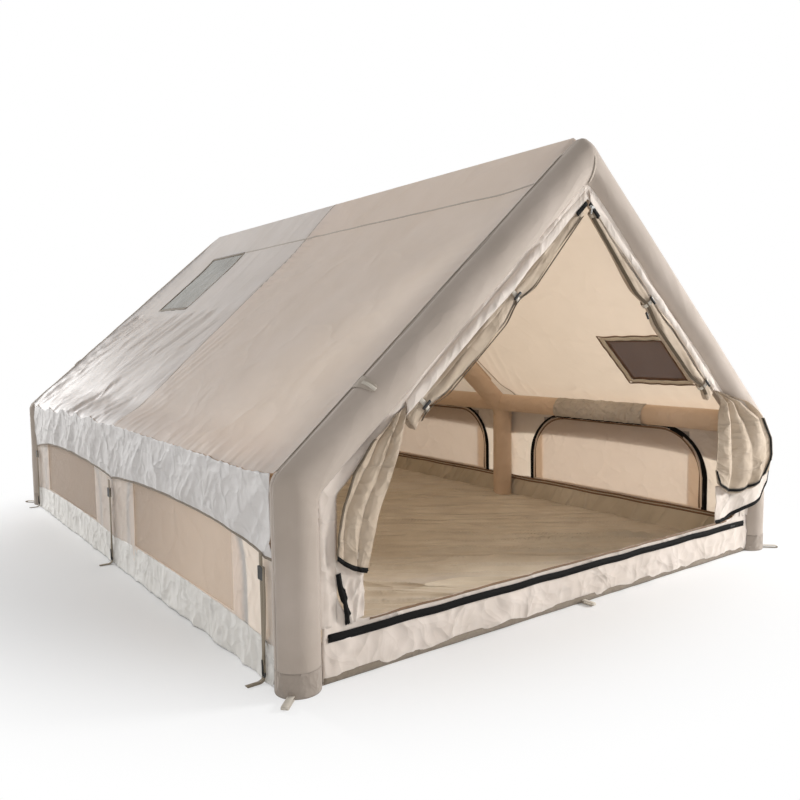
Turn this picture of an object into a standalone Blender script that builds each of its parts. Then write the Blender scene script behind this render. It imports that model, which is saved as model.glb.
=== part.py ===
"""Inflatable cabin tent with three air arches, four eave tubes and a sewn shell.

Metres, +Z up. The origin is on the ground under the middle of the tent. X runs across
the tent, the open doorway faces -Y and the ridge runs along Y. Fabric is drawn as sheets
3 to 4 mm thick, so that each piece is a solid with a real thickness.
"""

import math

import bmesh
import bpy
from mathutils import Matrix, Vector

# Whole tent
WIDTH = 3.0
LENGTH = 4.0
EAVE_HEIGHT = 0.73
RIDGE_HEIGHT = 2.04
GAP = 0.0003
OVERRUN = 0.02
WELD = 0.00003
CREASE_DEG = 35.0
CLOTH_CREASE_DEG = 60.0

# Air tubes
GABLE_TUBE_RADIUS = 0.080
MIDDLE_TUBE_RADIUS = 0.070
EAVE_TUBE_RADIUS = 0.0625
SLEEVE_WALL = 0.003
BLADDER_PLAY = 0.0006
BLADDER_FOOT_RISE = 0.006
BLADDER_END_ROUND = 0.020
EAVE_TUBE_INSET = 0.140
EAVE_TUBE_END = 0.050
EAVE_BLADDER_PLAY = 0.012
TUBE_SIDES = 24
BLADDER_SIDES = 16

# Fabric shell
FABRIC = 0.003
ROOF_FABRIC = 0.004
ROOF_INSET = 0.045
WALL_INSET = 0.030
EAVE_OVERHANG = 0.004
GABLE_WALL_INSET = 0.050

# Groundsheet tray
TRAY_WALL = 0.003
TRAY_HEIGHT = 0.150

# Valance under each eave
VALANCE_DEPTH = 0.240
VALANCE_ARC = 0.045
VALANCE_FLARE = 0.010
VALANCE_FOLD = 0.006
VALANCE_END_GAP = 0.006
VALANCE_FOLDS = 20
VALANCE_SLOW_FOLDS = 7.4
VALANCE_SLOW_SHARE = 0.5
VALANCE_ARC_POWER = 0.6
VALANCE_ROW_SHARES = (0, 0.2, 0.6, 1)
COLUMNS_PER_FOLD = 4

# Mud skirt along each side
SKIRT_HEIGHT = 0.165
SKIRT_FOLD = 0.005
SKIRT_FOLDS = 16
SKIRT_TOP_SHARE = 0.4
SKIRT_ROW_SHARES = (0, 0.5, 1)

# Windows in the side walls
WINDOW_OFFSET = 0.935
WINDOW_WIDTH = 1.170
WINDOW_SILL = 0.170
WINDOW_HEIGHT = 0.440
WINDOW_CORNER = 0.050
MESH_FABRIC = 0.0015
COVER_WIDTH = 1.360
COVER_HEIGHT = 0.480
COVER_CORNER = 0.300
COVER_SEAT = 0.003

# Skylights in the roof
SKYLIGHT_FILM = 0.0012
SKYLIGHT_MESH = 0.0012
SKYLIGHT_CORNER = 0.020
LEFT_SKYLIGHT_Y = 1.190
LEFT_SKYLIGHT_ACROSS = 0.460
LEFT_SKYLIGHT_LENGTH = 0.550
LEFT_SKYLIGHT_DROP = 0.580
RIGHT_SKYLIGHT_Y = -1.480
RIGHT_SKYLIGHT_ACROSS = 1.092
RIGHT_SKYLIGHT_LENGTH = 0.370
RIGHT_SKYLIGHT_DROP = 0.345

# Doorway in each gable
DOOR_SLOPE_INSET = 0.200
DOOR_SIDE_INSET = 0.220
DOOR_SILL = 0.200
DOOR_CORNER = 0.120
DOOR_PLAY = 0.002
DOOR_APEX_CLIP = 0.006
CORNER_STEPS = 5

# Rolled front door leaves and the tails that hang from them
ROLL_WIDTH = 0.090
ROLL_DEPTH = 0.056
ROLL_TOP_SHARE = 0.45
ROLL_GROWTH_SHARE = 0.40
ROLL_TIE_SHARE = 0.72
ROLL_TIE_REACH_SHARE = 0.10
ROLL_FOLD_SHARE = 0.13
ROLL_FOLDS = 5
ROLL_TURNS = 2
ROLL_SIDES = 16
ROLL_RINGS = 18
TIE_SHARES = (0.44, 0.93)
TIE_ACROSS = 0.990
TAIL_LAP = 0.010
TAIL_END_GAP = 0.012
TAIL_CLOTH = 0.003
TAIL_HEM = 0.215
TAIL_ROWS = 6
TAIL_COLUMNS = 25
TAIL_FLARE_POWER = 0.8
TAIL_FOLD_START = 0.6
TAIL_AXIS_SHARE = 0.15
LEFT_TAIL_INNER = 1.120
LEFT_TAIL_OUTER = 1.272
LEFT_TAIL_FOLD = 0.020
LEFT_TAIL_FOLDS = 2.5
RIGHT_TAIL_INNER = 1.050
RIGHT_TAIL_OUTER = 1.400
RIGHT_TAIL_FOLD = 0.028
RIGHT_TAIL_FOLDS = 4.5
RIGHT_TAIL_HEM_RISE = 0.120
TAIL_STAND_START = 1.200
TAIL_STAND_END = 1.360
TAIL_STAND_PLAY = 0.002

# Zip on the front sill and the zip sliders
ZIP_WIDTH = 0.024
ZIP_THICKNESS = 0.0025
ZIP_SILL_HEIGHT = 0.160
ZIP_SILL_END_GAP = 0.020
SLIDER_LENGTH = 0.016
SLIDER_WIDTH = 0.011
SLIDER_THICKNESS = 0.006
SLIDER_TAPER_SHARE = 0.6
PULL_LENGTH = 0.034
PULL_WIDTH = 0.006
PULL_THICKNESS = 0.002
WINDOW_SLIDER_START = 0.240
SILL_SLIDER_FROM_END = 0.120
REAR_SLIDER_START = 0.240

# Pocket on the right front eave tube
POUCH_FROM_MIDDLE = 0.600
POUCH_LENGTH = 0.700
POUCH_WALL = 0.003
POUCH_BULGE = 0.012
POUCH_START_DEG = 95.0
POUCH_END_DEG = 300.0
POUCH_BULGE_DEG = 215.0
POUCH_BULGE_TURN = 1.3
POUCH_STEPS = 16

# Valves on the rear arch
VALVE_HEIGHT = 0.350
VALVE_FLANGE_RADIUS = 0.030
VALVE_FLANGE = 0.003
VALVE_BARREL_RADIUS = 0.020
VALVE_BARREL = 0.010
VALVE_BORE_RADIUS = 0.013
VALVE_FLOOR = 0.002
VALVE_CAP_RADIUS = 0.0235
VALVE_CAP = 0.006
VALVE_CAP_TAB = 0.012
VALVE_CAP_TAB_WIDTH = 0.010
RELIEF_HEIGHT = 0.480
RELIEF_RADIUS = 0.018
RELIEF_FLANGE = 0.003
RELIEF_DOME_RADIUS = 0.011
RELIEF_DOME = 0.004
RELIEF_DOME_ROUND = 0.0015
ROUND_SIDES = 20
EYE_SIDES = 10

# Tension straps, their buckles and the peg loops
STRAP_PLACES_SHARE = (-0.450, 0.0, 0.450)
STRAP_WIDTH = 0.025
STRAP_THICKNESS = 0.0016
STRAP_LAP = 0.020
STRAP_FOOT_OUT = 0.004
BUCKLE_WIDTH = 0.036
BUCKLE_HEIGHT = 0.048
BUCKLE_THICKNESS = 0.010
BUCKLE_SLOT_PLAY = 0.0005
BUCKLE_CORNER = 0.004
BUCKLE_DROP = 0.085
LOOP_WIDTH = 0.025
LOOP_THICKNESS = 0.003
LOOP_LENGTH = 0.070
LOOP_EYE_RADIUS = 0.007
CORNER_LOOP_LENGTH = 0.085

# Guy tabs on the gable arches and the ties of the front doors
GUY_TAB_SHARE = 0.70
GUY_TAB_BASE = 0.050
GUY_TAB_TIP = 0.022
GUY_TAB_LENGTH = 0.040
GUY_TAB_THICKNESS = 0.003
GUY_TAB_EYE_RADIUS = 0.006
TIE_BAND_WIDTH = 0.020
TIE_BAND_THICKNESS = 0.003
TIE_BAND_SINK = 0.008
TIE_BAND_START_DEG = -150.0
TIE_BAND_END_DEG = 75.0
TIE_BAND_STEPS = 12
TIE_TOGGLE_RADIUS = 0.006
TIE_TOGGLE_LENGTH = 0.045

# Sizes worked out from the ones above
HALF_WIDTH = WIDTH / 2
SLOPE = math.atan2(RIDGE_HEIGHT - EAVE_HEIGHT, HALF_WIDTH)
GABLE_Y = LENGTH / 2 - GABLE_TUBE_RADIUS
WALL_FACE = HALF_WIDTH - WALL_INSET
WALL_BACK = WALL_FACE - FABRIC
ROOF_EDGE = WALL_FACE + EAVE_OVERHANG
GABLE_FACE = LENGTH / 2 - GABLE_WALL_INSET
GABLE_BACK = GABLE_FACE - FABRIC
TRAY_FACE = WALL_BACK - GAP
TRAY_BACK = TRAY_FACE - TRAY_WALL
MIDDLE_WALL_INSET = HALF_WIDTH - (TRAY_BACK - GAP - MIDDLE_TUBE_RADIUS)
MIDDLE_ROOF_INSET = ROOF_INSET + ROOF_FABRIC + GAP + MIDDLE_TUBE_RADIUS
EAVE_TUBE_X = HALF_WIDTH - EAVE_TUBE_INSET
EAVE_TUBE_ROOF_INSET = ROOF_INSET + ROOF_FABRIC + GAP + EAVE_TUBE_RADIUS
DOOR_SIDE = HALF_WIDTH - DOOR_SIDE_INSET
ZIP_SILL_HALF_LENGTH = HALF_WIDTH - 2 * GABLE_TUBE_RADIUS - ZIP_SILL_END_GAP
SILL_SLIDER_START = ZIP_SILL_HALF_LENGTH - SILL_SLIDER_FROM_END
COVER_HINGE_Z = TRAY_HEIGHT + COVER_SEAT
STRAP_TOP_X = ROOF_EDGE + GAP + VALANCE_FLARE
STRAP_FOOT_X = WALL_FACE + 2 * GAP + FABRIC + 2 * SKIRT_FOLD + STRAP_FOOT_OUT


def roof_z(across, inset):
    """Height of the roof line moved in by inset, at a distance across from the middle."""
    return RIDGE_HEIGHT - inset / math.cos(SLOPE) - abs(across) * math.tan(SLOPE)


EAVE_TUBE_Z = roof_z(EAVE_TUBE_X, EAVE_TUBE_ROOF_INSET)


def smooth_step(share):
    """Ease from 0 to 1 as share goes from 0 to 1."""
    share = min(1, max(0, share))
    return share * share * (3 - 2 * share)


def start_clean():
    for old in list(bpy.data.objects):
        bpy.data.objects.remove(old, do_unlink=True)


def material(name, colour, roughness, metallic=0.0):
    made = bpy.data.materials.new(name)
    made.use_nodes = True
    shader = made.node_tree.nodes["Principled BSDF"]
    shader.inputs["Base Color"].default_value = (*colour, 1.0)
    shader.inputs["Roughness"].default_value = roughness
    shader.inputs["Metallic"].default_value = metallic
    return made


def place(name, shape, finish, origin=(0, 0, 0), smooth=True, crease=CREASE_DEG):
    """Turn a bmesh in world places into an object whose origin is on its own axis."""
    mesh = bpy.data.meshes.new(name)
    bmesh.ops.recalc_face_normals(shape, faces=shape.faces)
    shape.to_mesh(mesh)
    shape.free()
    mesh.transform(Matrix.Translation(-Vector(origin)))
    mesh.materials.append(finish)
    if smooth:
        mesh.shade_smooth()
        mesh.set_sharp_from_angle(angle=math.radians(crease))
    made = bpy.data.objects.new(name, mesh)
    made.location = origin
    bpy.context.scene.collection.objects.link(made)
    return made


def cutter(name, shape):
    made = place(name, shape, FINISHES["cutter"], smooth=False)
    made.hide_render = True
    made.display_type = "WIRE"
    return made


def cut(target, tools):
    for tool in tools:
        step = target.modifiers.new("cut_" + tool.name, "BOOLEAN")
        step.operation = "DIFFERENCE"
        step.solver = "EXACT"
        step.object = tool


def fuse(target, pieces):
    """Sew pieces onto target, so that they are one body."""
    for piece in pieces:
        step = target.modifiers.new("sew_" + piece.name, "BOOLEAN")
        step.operation = "UNION"
        step.solver = "EXACT"
        step.object = piece


def join_rings(shape, rings, closed):
    """Skin lists of points with quads; closed joins each ring's end to its start."""
    rows = [[shape.verts.new(point) for point in ring] for ring in rings]
    for near, far in zip(rows, rows[1:]):
        count = len(near)
        for i in range(count if closed else count - 1):
            j = (i + 1) % count
            shape.faces.new((near[i], near[j], far[j], far[i]))
    return rows


def outline_prism(shape, outline, to_world, depth):
    """Extrude a flat outline by depth along the third axis of to_world."""
    near = [shape.verts.new(to_world(u, v, 0)) for u, v in outline]
    far = [shape.verts.new(to_world(u, v, depth)) for u, v in outline]
    shape.faces.new(near)
    shape.faces.new(list(reversed(far)))
    count = len(outline)
    for i in range(count):
        j = (i + 1) % count
        shape.faces.new((near[j], near[i], far[i], far[j]))


def arc(centre, radius, start, end, steps):
    turn = (end - start) / steps
    return [(centre[0] + radius * math.cos(start + i * turn),
             centre[1] + radius * math.sin(start + i * turn)) for i in range(steps + 1)]


def rounded_rectangle(width, height, radius, middle=(0, 0)):
    points = []
    for quarter, (h, v) in enumerate(((1, 1), (-1, 1), (-1, -1), (1, -1))):
        centre = (middle[0] + h * (width / 2 - radius), middle[1] + v * (height / 2 - radius))
        start = quarter * math.pi / 2
        points += arc(centre, radius, start, start + math.pi / 2, CORNER_STEPS)
    return points


def revolve(shape, profile, base, axis, sides):
    """Turn a closed profile of (radius, distance along the axis) round the axis."""
    axis = Vector(axis).normalized()
    side = axis.orthogonal().normalized()
    other = axis.cross(side)
    base = Vector(base)
    rows = []
    for radius, along in profile:
        if radius == 0:
            rows.append([shape.verts.new(base + axis * along)])
            continue
        rows.append([shape.verts.new(base + axis * along
                                     + side * radius * math.cos(math.tau * k / sides)
                                     + other * radius * math.sin(math.tau * k / sides))
                     for k in range(sides)])
    for near, far in zip(rows, rows[1:]):
        for i in range(sides):
            j = (i + 1) % sides
            if len(near) == 1:
                shape.faces.new((near[0], far[j], far[i]))
            elif len(far) == 1:
                shape.faces.new((near[i], near[j], far[0]))
            else:
                shape.faces.new((near[i], near[j], far[j], far[i]))


def arch_line(wall_inset, roof_inset, foot):
    side = HALF_WIDTH - wall_inset
    eave = roof_z(side, roof_inset)
    return [Vector((-side, 0, foot)), Vector((-side, 0, eave)),
            Vector((0, 0, roof_z(0, roof_inset))),
            Vector((side, 0, eave)), Vector((side, 0, foot))]


def mitred_rings(line, y, radius, sides):
    """Rings of a round tube along a bent line, mitred where the line turns."""
    across = Vector((0, 1, 0))
    rings = []
    for i, point in enumerate(line):
        after = (line[min(i + 1, len(line) - 1)] - line[min(i, len(line) - 2)]).normalized()
        before = (line[max(i, 1)] - line[max(i - 1, 0)]).normalized()
        along = (before + after).normalized()
        stretch = 1 / along.dot(after)
        outward = along.cross(across)
        rings.append([point + across * (y + radius * math.sin(math.tau * k / sides))
                      + outward * (radius * stretch * math.cos(math.tau * k / sides))
                      for k in range(sides)])
    return rings


def solid_arch(line, y, radius, sides, end_round=0):
    shape = bmesh.new()
    line = [point.copy() for point in line]
    rings = mitred_rings(line, y, radius, sides)
    if end_round:
        rings = round_off_ends(rings, line, y, radius, end_round)
    rows = join_rings(shape, rings, closed=True)
    shape.faces.new(rows[0])
    shape.faces.new(list(reversed(rows[-1])))
    return shape


def round_off_ends(rings, line, y, radius, end_round):
    """Draw the last rings of a bladder in, so that it ends in a rounded shoulder."""
    inner_share = (radius - end_round) / radius
    middle_share = (radius - end_round * (1 - math.sqrt(0.5))) / radius
    ends = []
    for ring, foot in ((rings[0], line[0]), (rings[-1], line[-1])):
        centre = Vector((foot.x, y, foot.z))
        lowest = [centre + (point - centre) * inner_share for point in ring]
        rise = Vector((0, 0, end_round * (1 - math.sqrt(0.5))))
        shoulder = [centre + (point - centre) * middle_share + rise for point in ring]
        straight = [point + Vector((0, 0, end_round)) for point in ring]
        ends.append([lowest, shoulder, straight])
    return ends[0] + rings[1:-1] + list(reversed(ends[1]))


def hollow_arch(line, y, radius, wall, sides):
    """A sleeve: an open-ended tube of fabric round the bladder."""
    shape = bmesh.new()
    outer = join_rings(shape, mitred_rings(line, y, radius, sides), closed=True)
    inner = join_rings(shape, mitred_rings(line, y, radius - wall, sides), closed=True)
    for near, far in ((outer[0], inner[0]), (inner[-1], outer[-1])):
        for i in range(sides):
            j = (i + 1) % sides
            shape.faces.new((near[i], near[j], far[j], far[i]))
    return shape


def make_arches():
    gable_line = arch_line(GABLE_TUBE_RADIUS, GABLE_TUBE_RADIUS, 0)
    middle_line = arch_line(MIDDLE_WALL_INSET, MIDDLE_ROOF_INSET, TRAY_WALL + GAP)
    arches = (("front", gable_line, -GABLE_Y, GABLE_TUBE_RADIUS),
              ("middle", middle_line, 0, MIDDLE_TUBE_RADIUS),
              ("rear", gable_line, GABLE_Y, GABLE_TUBE_RADIUS))
    for name, line, y, radius in arches:
        tube = hollow_arch(line, y, radius, SLEEVE_WALL, TUBE_SIDES)
        sleeve = place(name + "_arch_sleeve", tube, FINISHES["canvas"])
        if y:
            fuse(sleeve, make_guy_tabs(name, y) + make_corner_loops(name, y))
        inside = (radius - SLEEVE_WALL) * math.cos(math.pi / TUBE_SIDES) - BLADDER_PLAY
        raised = [point.copy() for point in line]
        for foot in (raised[0], raised[-1]):
            foot.z += BLADDER_FOOT_RISE
        bladder = solid_arch(raised, y, inside, BLADDER_SIDES, BLADDER_END_ROUND)
        place(name + "_arch_bladder", bladder, FINISHES["bladder"])


def make_arch_cutters():
    """Slightly fatter arches that shape whatever butts against the real ones."""
    gable_line = arch_line(GABLE_TUBE_RADIUS, GABLE_TUBE_RADIUS, -OVERRUN)
    middle_line = arch_line(MIDDLE_WALL_INSET, MIDDLE_ROOF_INSET, -OVERRUN)
    fat = {}
    for name, line, y, radius in (("front", gable_line, -GABLE_Y, GABLE_TUBE_RADIUS),
                                  ("middle", middle_line, 0, MIDDLE_TUBE_RADIUS),
                                  ("rear", gable_line, GABLE_Y, GABLE_TUBE_RADIUS)):
        clear = (radius + GAP) / math.cos(math.pi / TUBE_SIDES)
        fat[name] = cutter("guide_" + name + "_arch", solid_arch(line, y, clear, TUBE_SIDES))
    return fat


def make_eave_tubes(fat):
    """Level tubes between the arches, cut at both ends to saddle on the arch sleeves."""
    for side_name, side in (("left", -1), ("right", 1)):
        for bay_name, bay in (("front", -1), ("rear", 1)):
            label = side_name + "_" + bay_name
            end = bay * (GABLE_Y - EAVE_TUBE_END)
            centre = Vector((side * EAVE_TUBE_X, 0, EAVE_TUBE_Z))
            shape = bmesh.new()
            outside = EAVE_TUBE_RADIUS
            inside = EAVE_TUBE_RADIUS - SLEEVE_WALL
            profile = [(outside, 0), (outside, abs(end)), (inside, abs(end)), (inside, 0),
                       (outside, 0)]
            revolve(shape, profile, centre, (0, bay, 0), TUBE_SIDES)
            bmesh.ops.remove_doubles(shape, verts=shape.verts, dist=WELD)
            tube = place("eave_tube_" + label, shape, FINISHES["tube"])
            cut(tube, [fat["middle"], fat[bay_name]])
            start = MIDDLE_TUBE_RADIUS + EAVE_BLADDER_PLAY
            stop = GABLE_Y - GABLE_TUBE_RADIUS - EAVE_BLADDER_PLAY
            body = inside * math.cos(math.pi / TUBE_SIDES) - BLADDER_PLAY
            shoulder = BLADDER_END_ROUND
            chord = shoulder * (1 - math.sqrt(0.5))
            profile = [(0, start), (body - shoulder, start), (body - chord, start + chord),
                       (body, start + shoulder), (body, stop - shoulder),
                       (body - chord, stop - chord), (body - shoulder, stop), (0, stop)]
            bladder = bmesh.new()
            revolve(bladder, profile, centre, (0, bay, 0), BLADDER_SIDES)
            place("eave_bladder_" + label, bladder, FINISHES["bladder"])


def tube_reach(radius, depth):
    """Half the width of a round tube at a depth under its outermost line."""
    return math.sqrt(radius ** 2 - (radius - depth) ** 2)


def slope_frame(side, middle, across, inset):
    """Places on one roof slope: u along the ridge, v down the slope, w out of the roof."""
    down = Vector((side * math.cos(SLOPE), 0, -math.sin(SLOPE)))
    out = Vector((side * math.sin(SLOPE), 0, math.cos(SLOPE)))
    origin = Vector((side * across, middle, roof_z(across, 0))) - out * inset

    def to_world(u, v, w):
        return origin + Vector((0, u, 0)) + down * v + out * w

    return to_world


def make_roof():
    end = GABLE_Y - tube_reach(GABLE_TUBE_RADIUS, ROOF_INSET + ROOF_FABRIC) - GAP
    under = ROOF_INSET + ROOF_FABRIC
    section = [(-ROOF_EDGE, roof_z(ROOF_EDGE, ROOF_INSET)), (0, roof_z(0, ROOF_INSET)),
               (ROOF_EDGE, roof_z(ROOF_EDGE, ROOF_INSET)), (ROOF_EDGE, roof_z(ROOF_EDGE, under)),
               (0, roof_z(0, under)), (-ROOF_EDGE, roof_z(ROOF_EDGE, under))]
    shape = bmesh.new()
    outline_prism(shape, section, lambda u, v, w: Vector((u, w - end, v)), 2 * end)
    roof = place("roof_canopy", shape, FINISHES["roof"], smooth=False)
    for name, side, y, across, length, drop in (
            ("left", -1, LEFT_SKYLIGHT_Y, LEFT_SKYLIGHT_ACROSS, LEFT_SKYLIGHT_LENGTH,
             LEFT_SKYLIGHT_DROP),
            ("right", 1, RIGHT_SKYLIGHT_Y, RIGHT_SKYLIGHT_ACROSS, RIGHT_SKYLIGHT_LENGTH,
             RIGHT_SKYLIGHT_DROP)):
        hole = bmesh.new()
        through = slope_frame(side, y, across, under + OVERRUN)
        outline_prism(hole, rounded_rectangle(length, drop, SKYLIGHT_CORNER), through,
                      ROOF_FABRIC + 2 * OVERRUN)
        cut(roof, [cutter("guide_skylight_" + name, hole)])
        pane = rounded_rectangle(length - 2 * GAP, drop - 2 * GAP, SKYLIGHT_CORNER - GAP)
        for piece, inset, thickness in (
                ("film", ROOF_INSET + SKYLIGHT_FILM, SKYLIGHT_FILM),
                ("mesh", under, SKYLIGHT_MESH)):
            sheet = bmesh.new()
            outline_prism(sheet, pane, slope_frame(side, y, across, inset), thickness)
            place("skylight_" + piece + "_" + name, sheet, FINISHES["sky_" + piece], smooth=False)


def wall_frame(side, face):
    """Places on a side wall: u along the tent, v up, w outward from the given face."""
    return lambda u, v, w: Vector((side * (face + w), u, v))


def window_outline(middle, shrink=0):
    centre = (middle, WINDOW_SILL + WINDOW_HEIGHT / 2)
    return rounded_rectangle(WINDOW_WIDTH - 2 * shrink, WINDOW_HEIGHT - 2 * shrink,
                             WINDOW_CORNER - shrink, centre)


def cover_outline(middle):
    half = COVER_WIDTH / 2
    top = COVER_HINGE_Z + COVER_HEIGHT - COVER_CORNER
    points = [(middle - half, COVER_HINGE_Z), (middle + half, COVER_HINGE_Z)]
    points += arc((middle + half - COVER_CORNER, top), COVER_CORNER, 0, math.pi / 2,
                  2 * CORNER_STEPS)
    points += arc((middle - half + COVER_CORNER, top), COVER_CORNER, math.pi / 2, math.pi,
                  2 * CORNER_STEPS)
    return points


def make_side_walls():
    end = GABLE_Y - tube_reach(GABLE_TUBE_RADIUS, WALL_INSET + FABRIC) - GAP
    top = roof_z(WALL_FACE, ROOF_INSET + ROOF_FABRIC) - GAP / math.cos(SLOPE)
    for side_name, side in (("left", -1), ("right", 1)):
        shape = bmesh.new()
        flat = [(-end, 0), (end, 0), (end, top), (-end, top)]
        outline_prism(shape, flat, wall_frame(side, WALL_BACK), FABRIC)
        wall = place("side_wall_" + side_name, shape, FINISHES["wall"], smooth=False)
        for bay_name, bay in (("front", -1), ("rear", 1)):
            middle = bay * WINDOW_OFFSET
            label = side_name + "_" + bay_name
            hole = bmesh.new()
            outline_prism(hole, window_outline(middle), wall_frame(side, WALL_BACK - OVERRUN / 2),
                          FABRIC + OVERRUN)
            cut(wall, [cutter("guide_window_" + label, hole)])
            net = bmesh.new()
            seat = WALL_BACK + (FABRIC - MESH_FABRIC) / 2
            outline_prism(net, window_outline(middle, GAP), wall_frame(side, seat), MESH_FABRIC)
            place("window_mesh_" + label, net, FINISHES["net"], smooth=False)
            make_window_cover(label, side, middle)
            make_window_slider(label, side, bay, middle)


def make_window_cover(label, side, middle):
    """The inner flap, which zips up over the window and folds down about its lower edge."""
    shape = bmesh.new()
    outline_prism(shape, cover_outline(middle), wall_frame(side, TRAY_BACK), FABRIC)
    place("window_cover_" + label, shape, FINISHES["inner"], (side * TRAY_BACK, middle,
                                                              COVER_HINGE_Z), smooth=False)


def make_window_slider(label, side, bay, middle):
    shape = bmesh.new()
    y = middle + bay * (COVER_WIDTH / 2 + SLIDER_WIDTH / 2 + COVER_SEAT)
    face = WALL_BACK - GAP

    def to_world(u, v, w):
        return Vector((side * (face - w), y + u, WINDOW_SLIDER_START + v))

    slider_with_tab(shape, to_world)
    place("window_slider_" + label, shape, FINISHES["black"], (side * face, y, WINDOW_SLIDER_START))


def slider_with_tab(shape, to_world):
    """A zip slider, tapered towards its front, with a pull tab hanging from it."""
    half = SLIDER_WIDTH / 2
    nose = half * SLIDER_TAPER_SHARE
    tab = PULL_WIDTH / 2
    drop = SLIDER_LENGTH / 2 - PULL_LENGTH
    body = [(-half, 0), (-tab, 0), (tab, 0), (half, 0), (half, SLIDER_LENGTH / 2),
            (nose, SLIDER_LENGTH), (-nose, SLIDER_LENGTH), (-half, SLIDER_LENGTH / 2)]
    raised = SLIDER_THICKNESS - PULL_THICKNESS
    low = [shape.verts.new(to_world(u, v, 0)) for u, v in body]
    high = [shape.verts.new(to_world(u, v, SLIDER_THICKNESS)) for u, v in body]
    under = [shape.verts.new(to_world(u, 0, raised)) for u in (-tab, tab)]
    tip_low = [shape.verts.new(to_world(u, drop, raised)) for u in (-tab, tab)]
    tip_high = [shape.verts.new(to_world(u, drop, SLIDER_THICKNESS)) for u in (-tab, tab)]
    shape.faces.new(low)
    shape.faces.new(list(reversed(high)))
    count = len(body)
    for i in range(count):
        j = (i + 1) % count
        if i != 1:
            shape.faces.new((low[j], low[i], high[i], high[j]))
    shape.faces.new((low[1], low[2], under[1], under[0]))
    shape.faces.new((under[0], under[1], tip_low[1], tip_low[0]))
    shape.faces.new((tip_low[0], tip_low[1], tip_high[1], tip_high[0]))
    shape.faces.new((tip_high[0], tip_high[1], high[2], high[1]))
    shape.faces.new((under[0], tip_low[0], tip_high[0], high[1]))
    shape.faces.new((under[1], high[2], tip_high[1], tip_low[1]))
    shape.faces.new((low[1], under[0], high[1]))
    shape.faces.new((low[2], high[2], under[1]))


def make_groundsheet(fat):
    """A tray: flat floor with its edges turned up inside the walls."""
    half_width = TRAY_FACE
    half_length = GABLE_BACK - GAP
    shape = bmesh.new()
    rings = []
    for inset, height in ((0, 0), (0, TRAY_HEIGHT), (TRAY_WALL, TRAY_HEIGHT),
                          (TRAY_WALL, TRAY_WALL)):
        x = half_width - inset
        y = half_length - inset
        rings.append([Vector((-x, -y, height)), Vector((x, -y, height)),
                      Vector((x, y, height)), Vector((-x, y, height))])
    rows = join_rings(shape, rings, closed=True)
    shape.faces.new(list(reversed(rows[0])))
    shape.faces.new(rows[-1])
    tray = place("groundsheet", shape, FINISHES["floor"], smooth=False)
    cut(tray, [fat["front"], fat["rear"]])


def hem_height(y):
    """Lower edge of the valance, drawn down where the straps pull on it."""
    reach = LENGTH * STRAP_PLACES_SHARE[2]
    arcs = abs(math.sin(math.pi * y / reach)) if abs(y) < reach else 0
    drawn_up = VALANCE_ARC * arcs ** VALANCE_ARC_POWER
    return roof_z(ROOF_EDGE, ROOF_INSET) - VALANCE_DEPTH + drawn_up


def gathered_sheet(side, rows_at, columns, thickness):
    """A hanging strip; rows_at gives, for a column, its list of (x, y, z) down the cloth."""
    shape = bmesh.new()
    front = [[Vector((side * (x + thickness / 2), y, z)) for x, y, z in rows_at(c)]
             for c in range(columns + 1)]
    back = [[Vector((side * (x - thickness / 2), y, z)) for x, y, z in rows_at(c)]
            for c in range(columns + 1)]
    outer = join_rings(shape, front, closed=False)
    inner = join_rings(shape, back, closed=False)
    for c in range(columns):
        for row in (0, -1):
            shape.faces.new((outer[c][row], outer[c + 1][row], inner[c + 1][row], inner[c][row]))
    for row in range(len(outer[0]) - 1):
        for c in (0, -1):
            shape.faces.new((outer[c][row], outer[c][row + 1], inner[c][row + 1], inner[c][row]))
    return shape


def valance_wave(y, end):
    """Gathering of the valance at y, from 0 in its valleys to 1 on its crests."""
    share = (y + end) / (2 * end)
    wave = math.cos(math.tau * VALANCE_FOLDS * share)
    wave += VALANCE_SLOW_SHARE * math.cos(math.tau * VALANCE_SLOW_FOLDS * share)
    return (1 + wave / (1 + VALANCE_SLOW_SHARE)) / 2


def make_valances():
    end = GABLE_Y - tube_reach(GABLE_TUBE_RADIUS, WALL_INSET - EAVE_OVERHANG) - VALANCE_END_GAP
    columns = VALANCE_FOLDS * COLUMNS_PER_FOLD
    top = roof_z(ROOF_EDGE, ROOF_INSET)

    def rows_at(column):
        y = -end + 2 * end * column / columns
        hem = hem_height(y)
        rows = []
        for share in VALANCE_ROW_SHARES:
            x = ROOF_EDGE + GAP + FABRIC / 2
            x += share * (VALANCE_FLARE + VALANCE_FOLD * valance_wave(y, end))
            rows.append((x, y, top + (hem - top) * share))
        return rows

    for side_name, side in (("left", -1), ("right", 1)):
        valance = place("valance_" + side_name, gathered_sheet(side, rows_at, columns, FABRIC),
                        FINISHES["valance"], crease=CLOTH_CREASE_DEG)
        straps = []
        eyes = []
        for bay_name, share in zip(("front", "middle", "rear"), STRAP_PLACES_SHARE):
            y = LENGTH * share
            hem_x = STRAP_TOP_X + FABRIC / 2 + VALANCE_FOLD * valance_wave(y, end)
            label = side_name + "_" + bay_name
            strap, eye, lean = make_strap(label, side, y, hem_x)
            straps.append(strap)
            eyes.append(eye)
            make_buckle(label, side, y, hem_x, lean)
        fuse(valance, straps)
        cut(valance, eyes)


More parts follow.
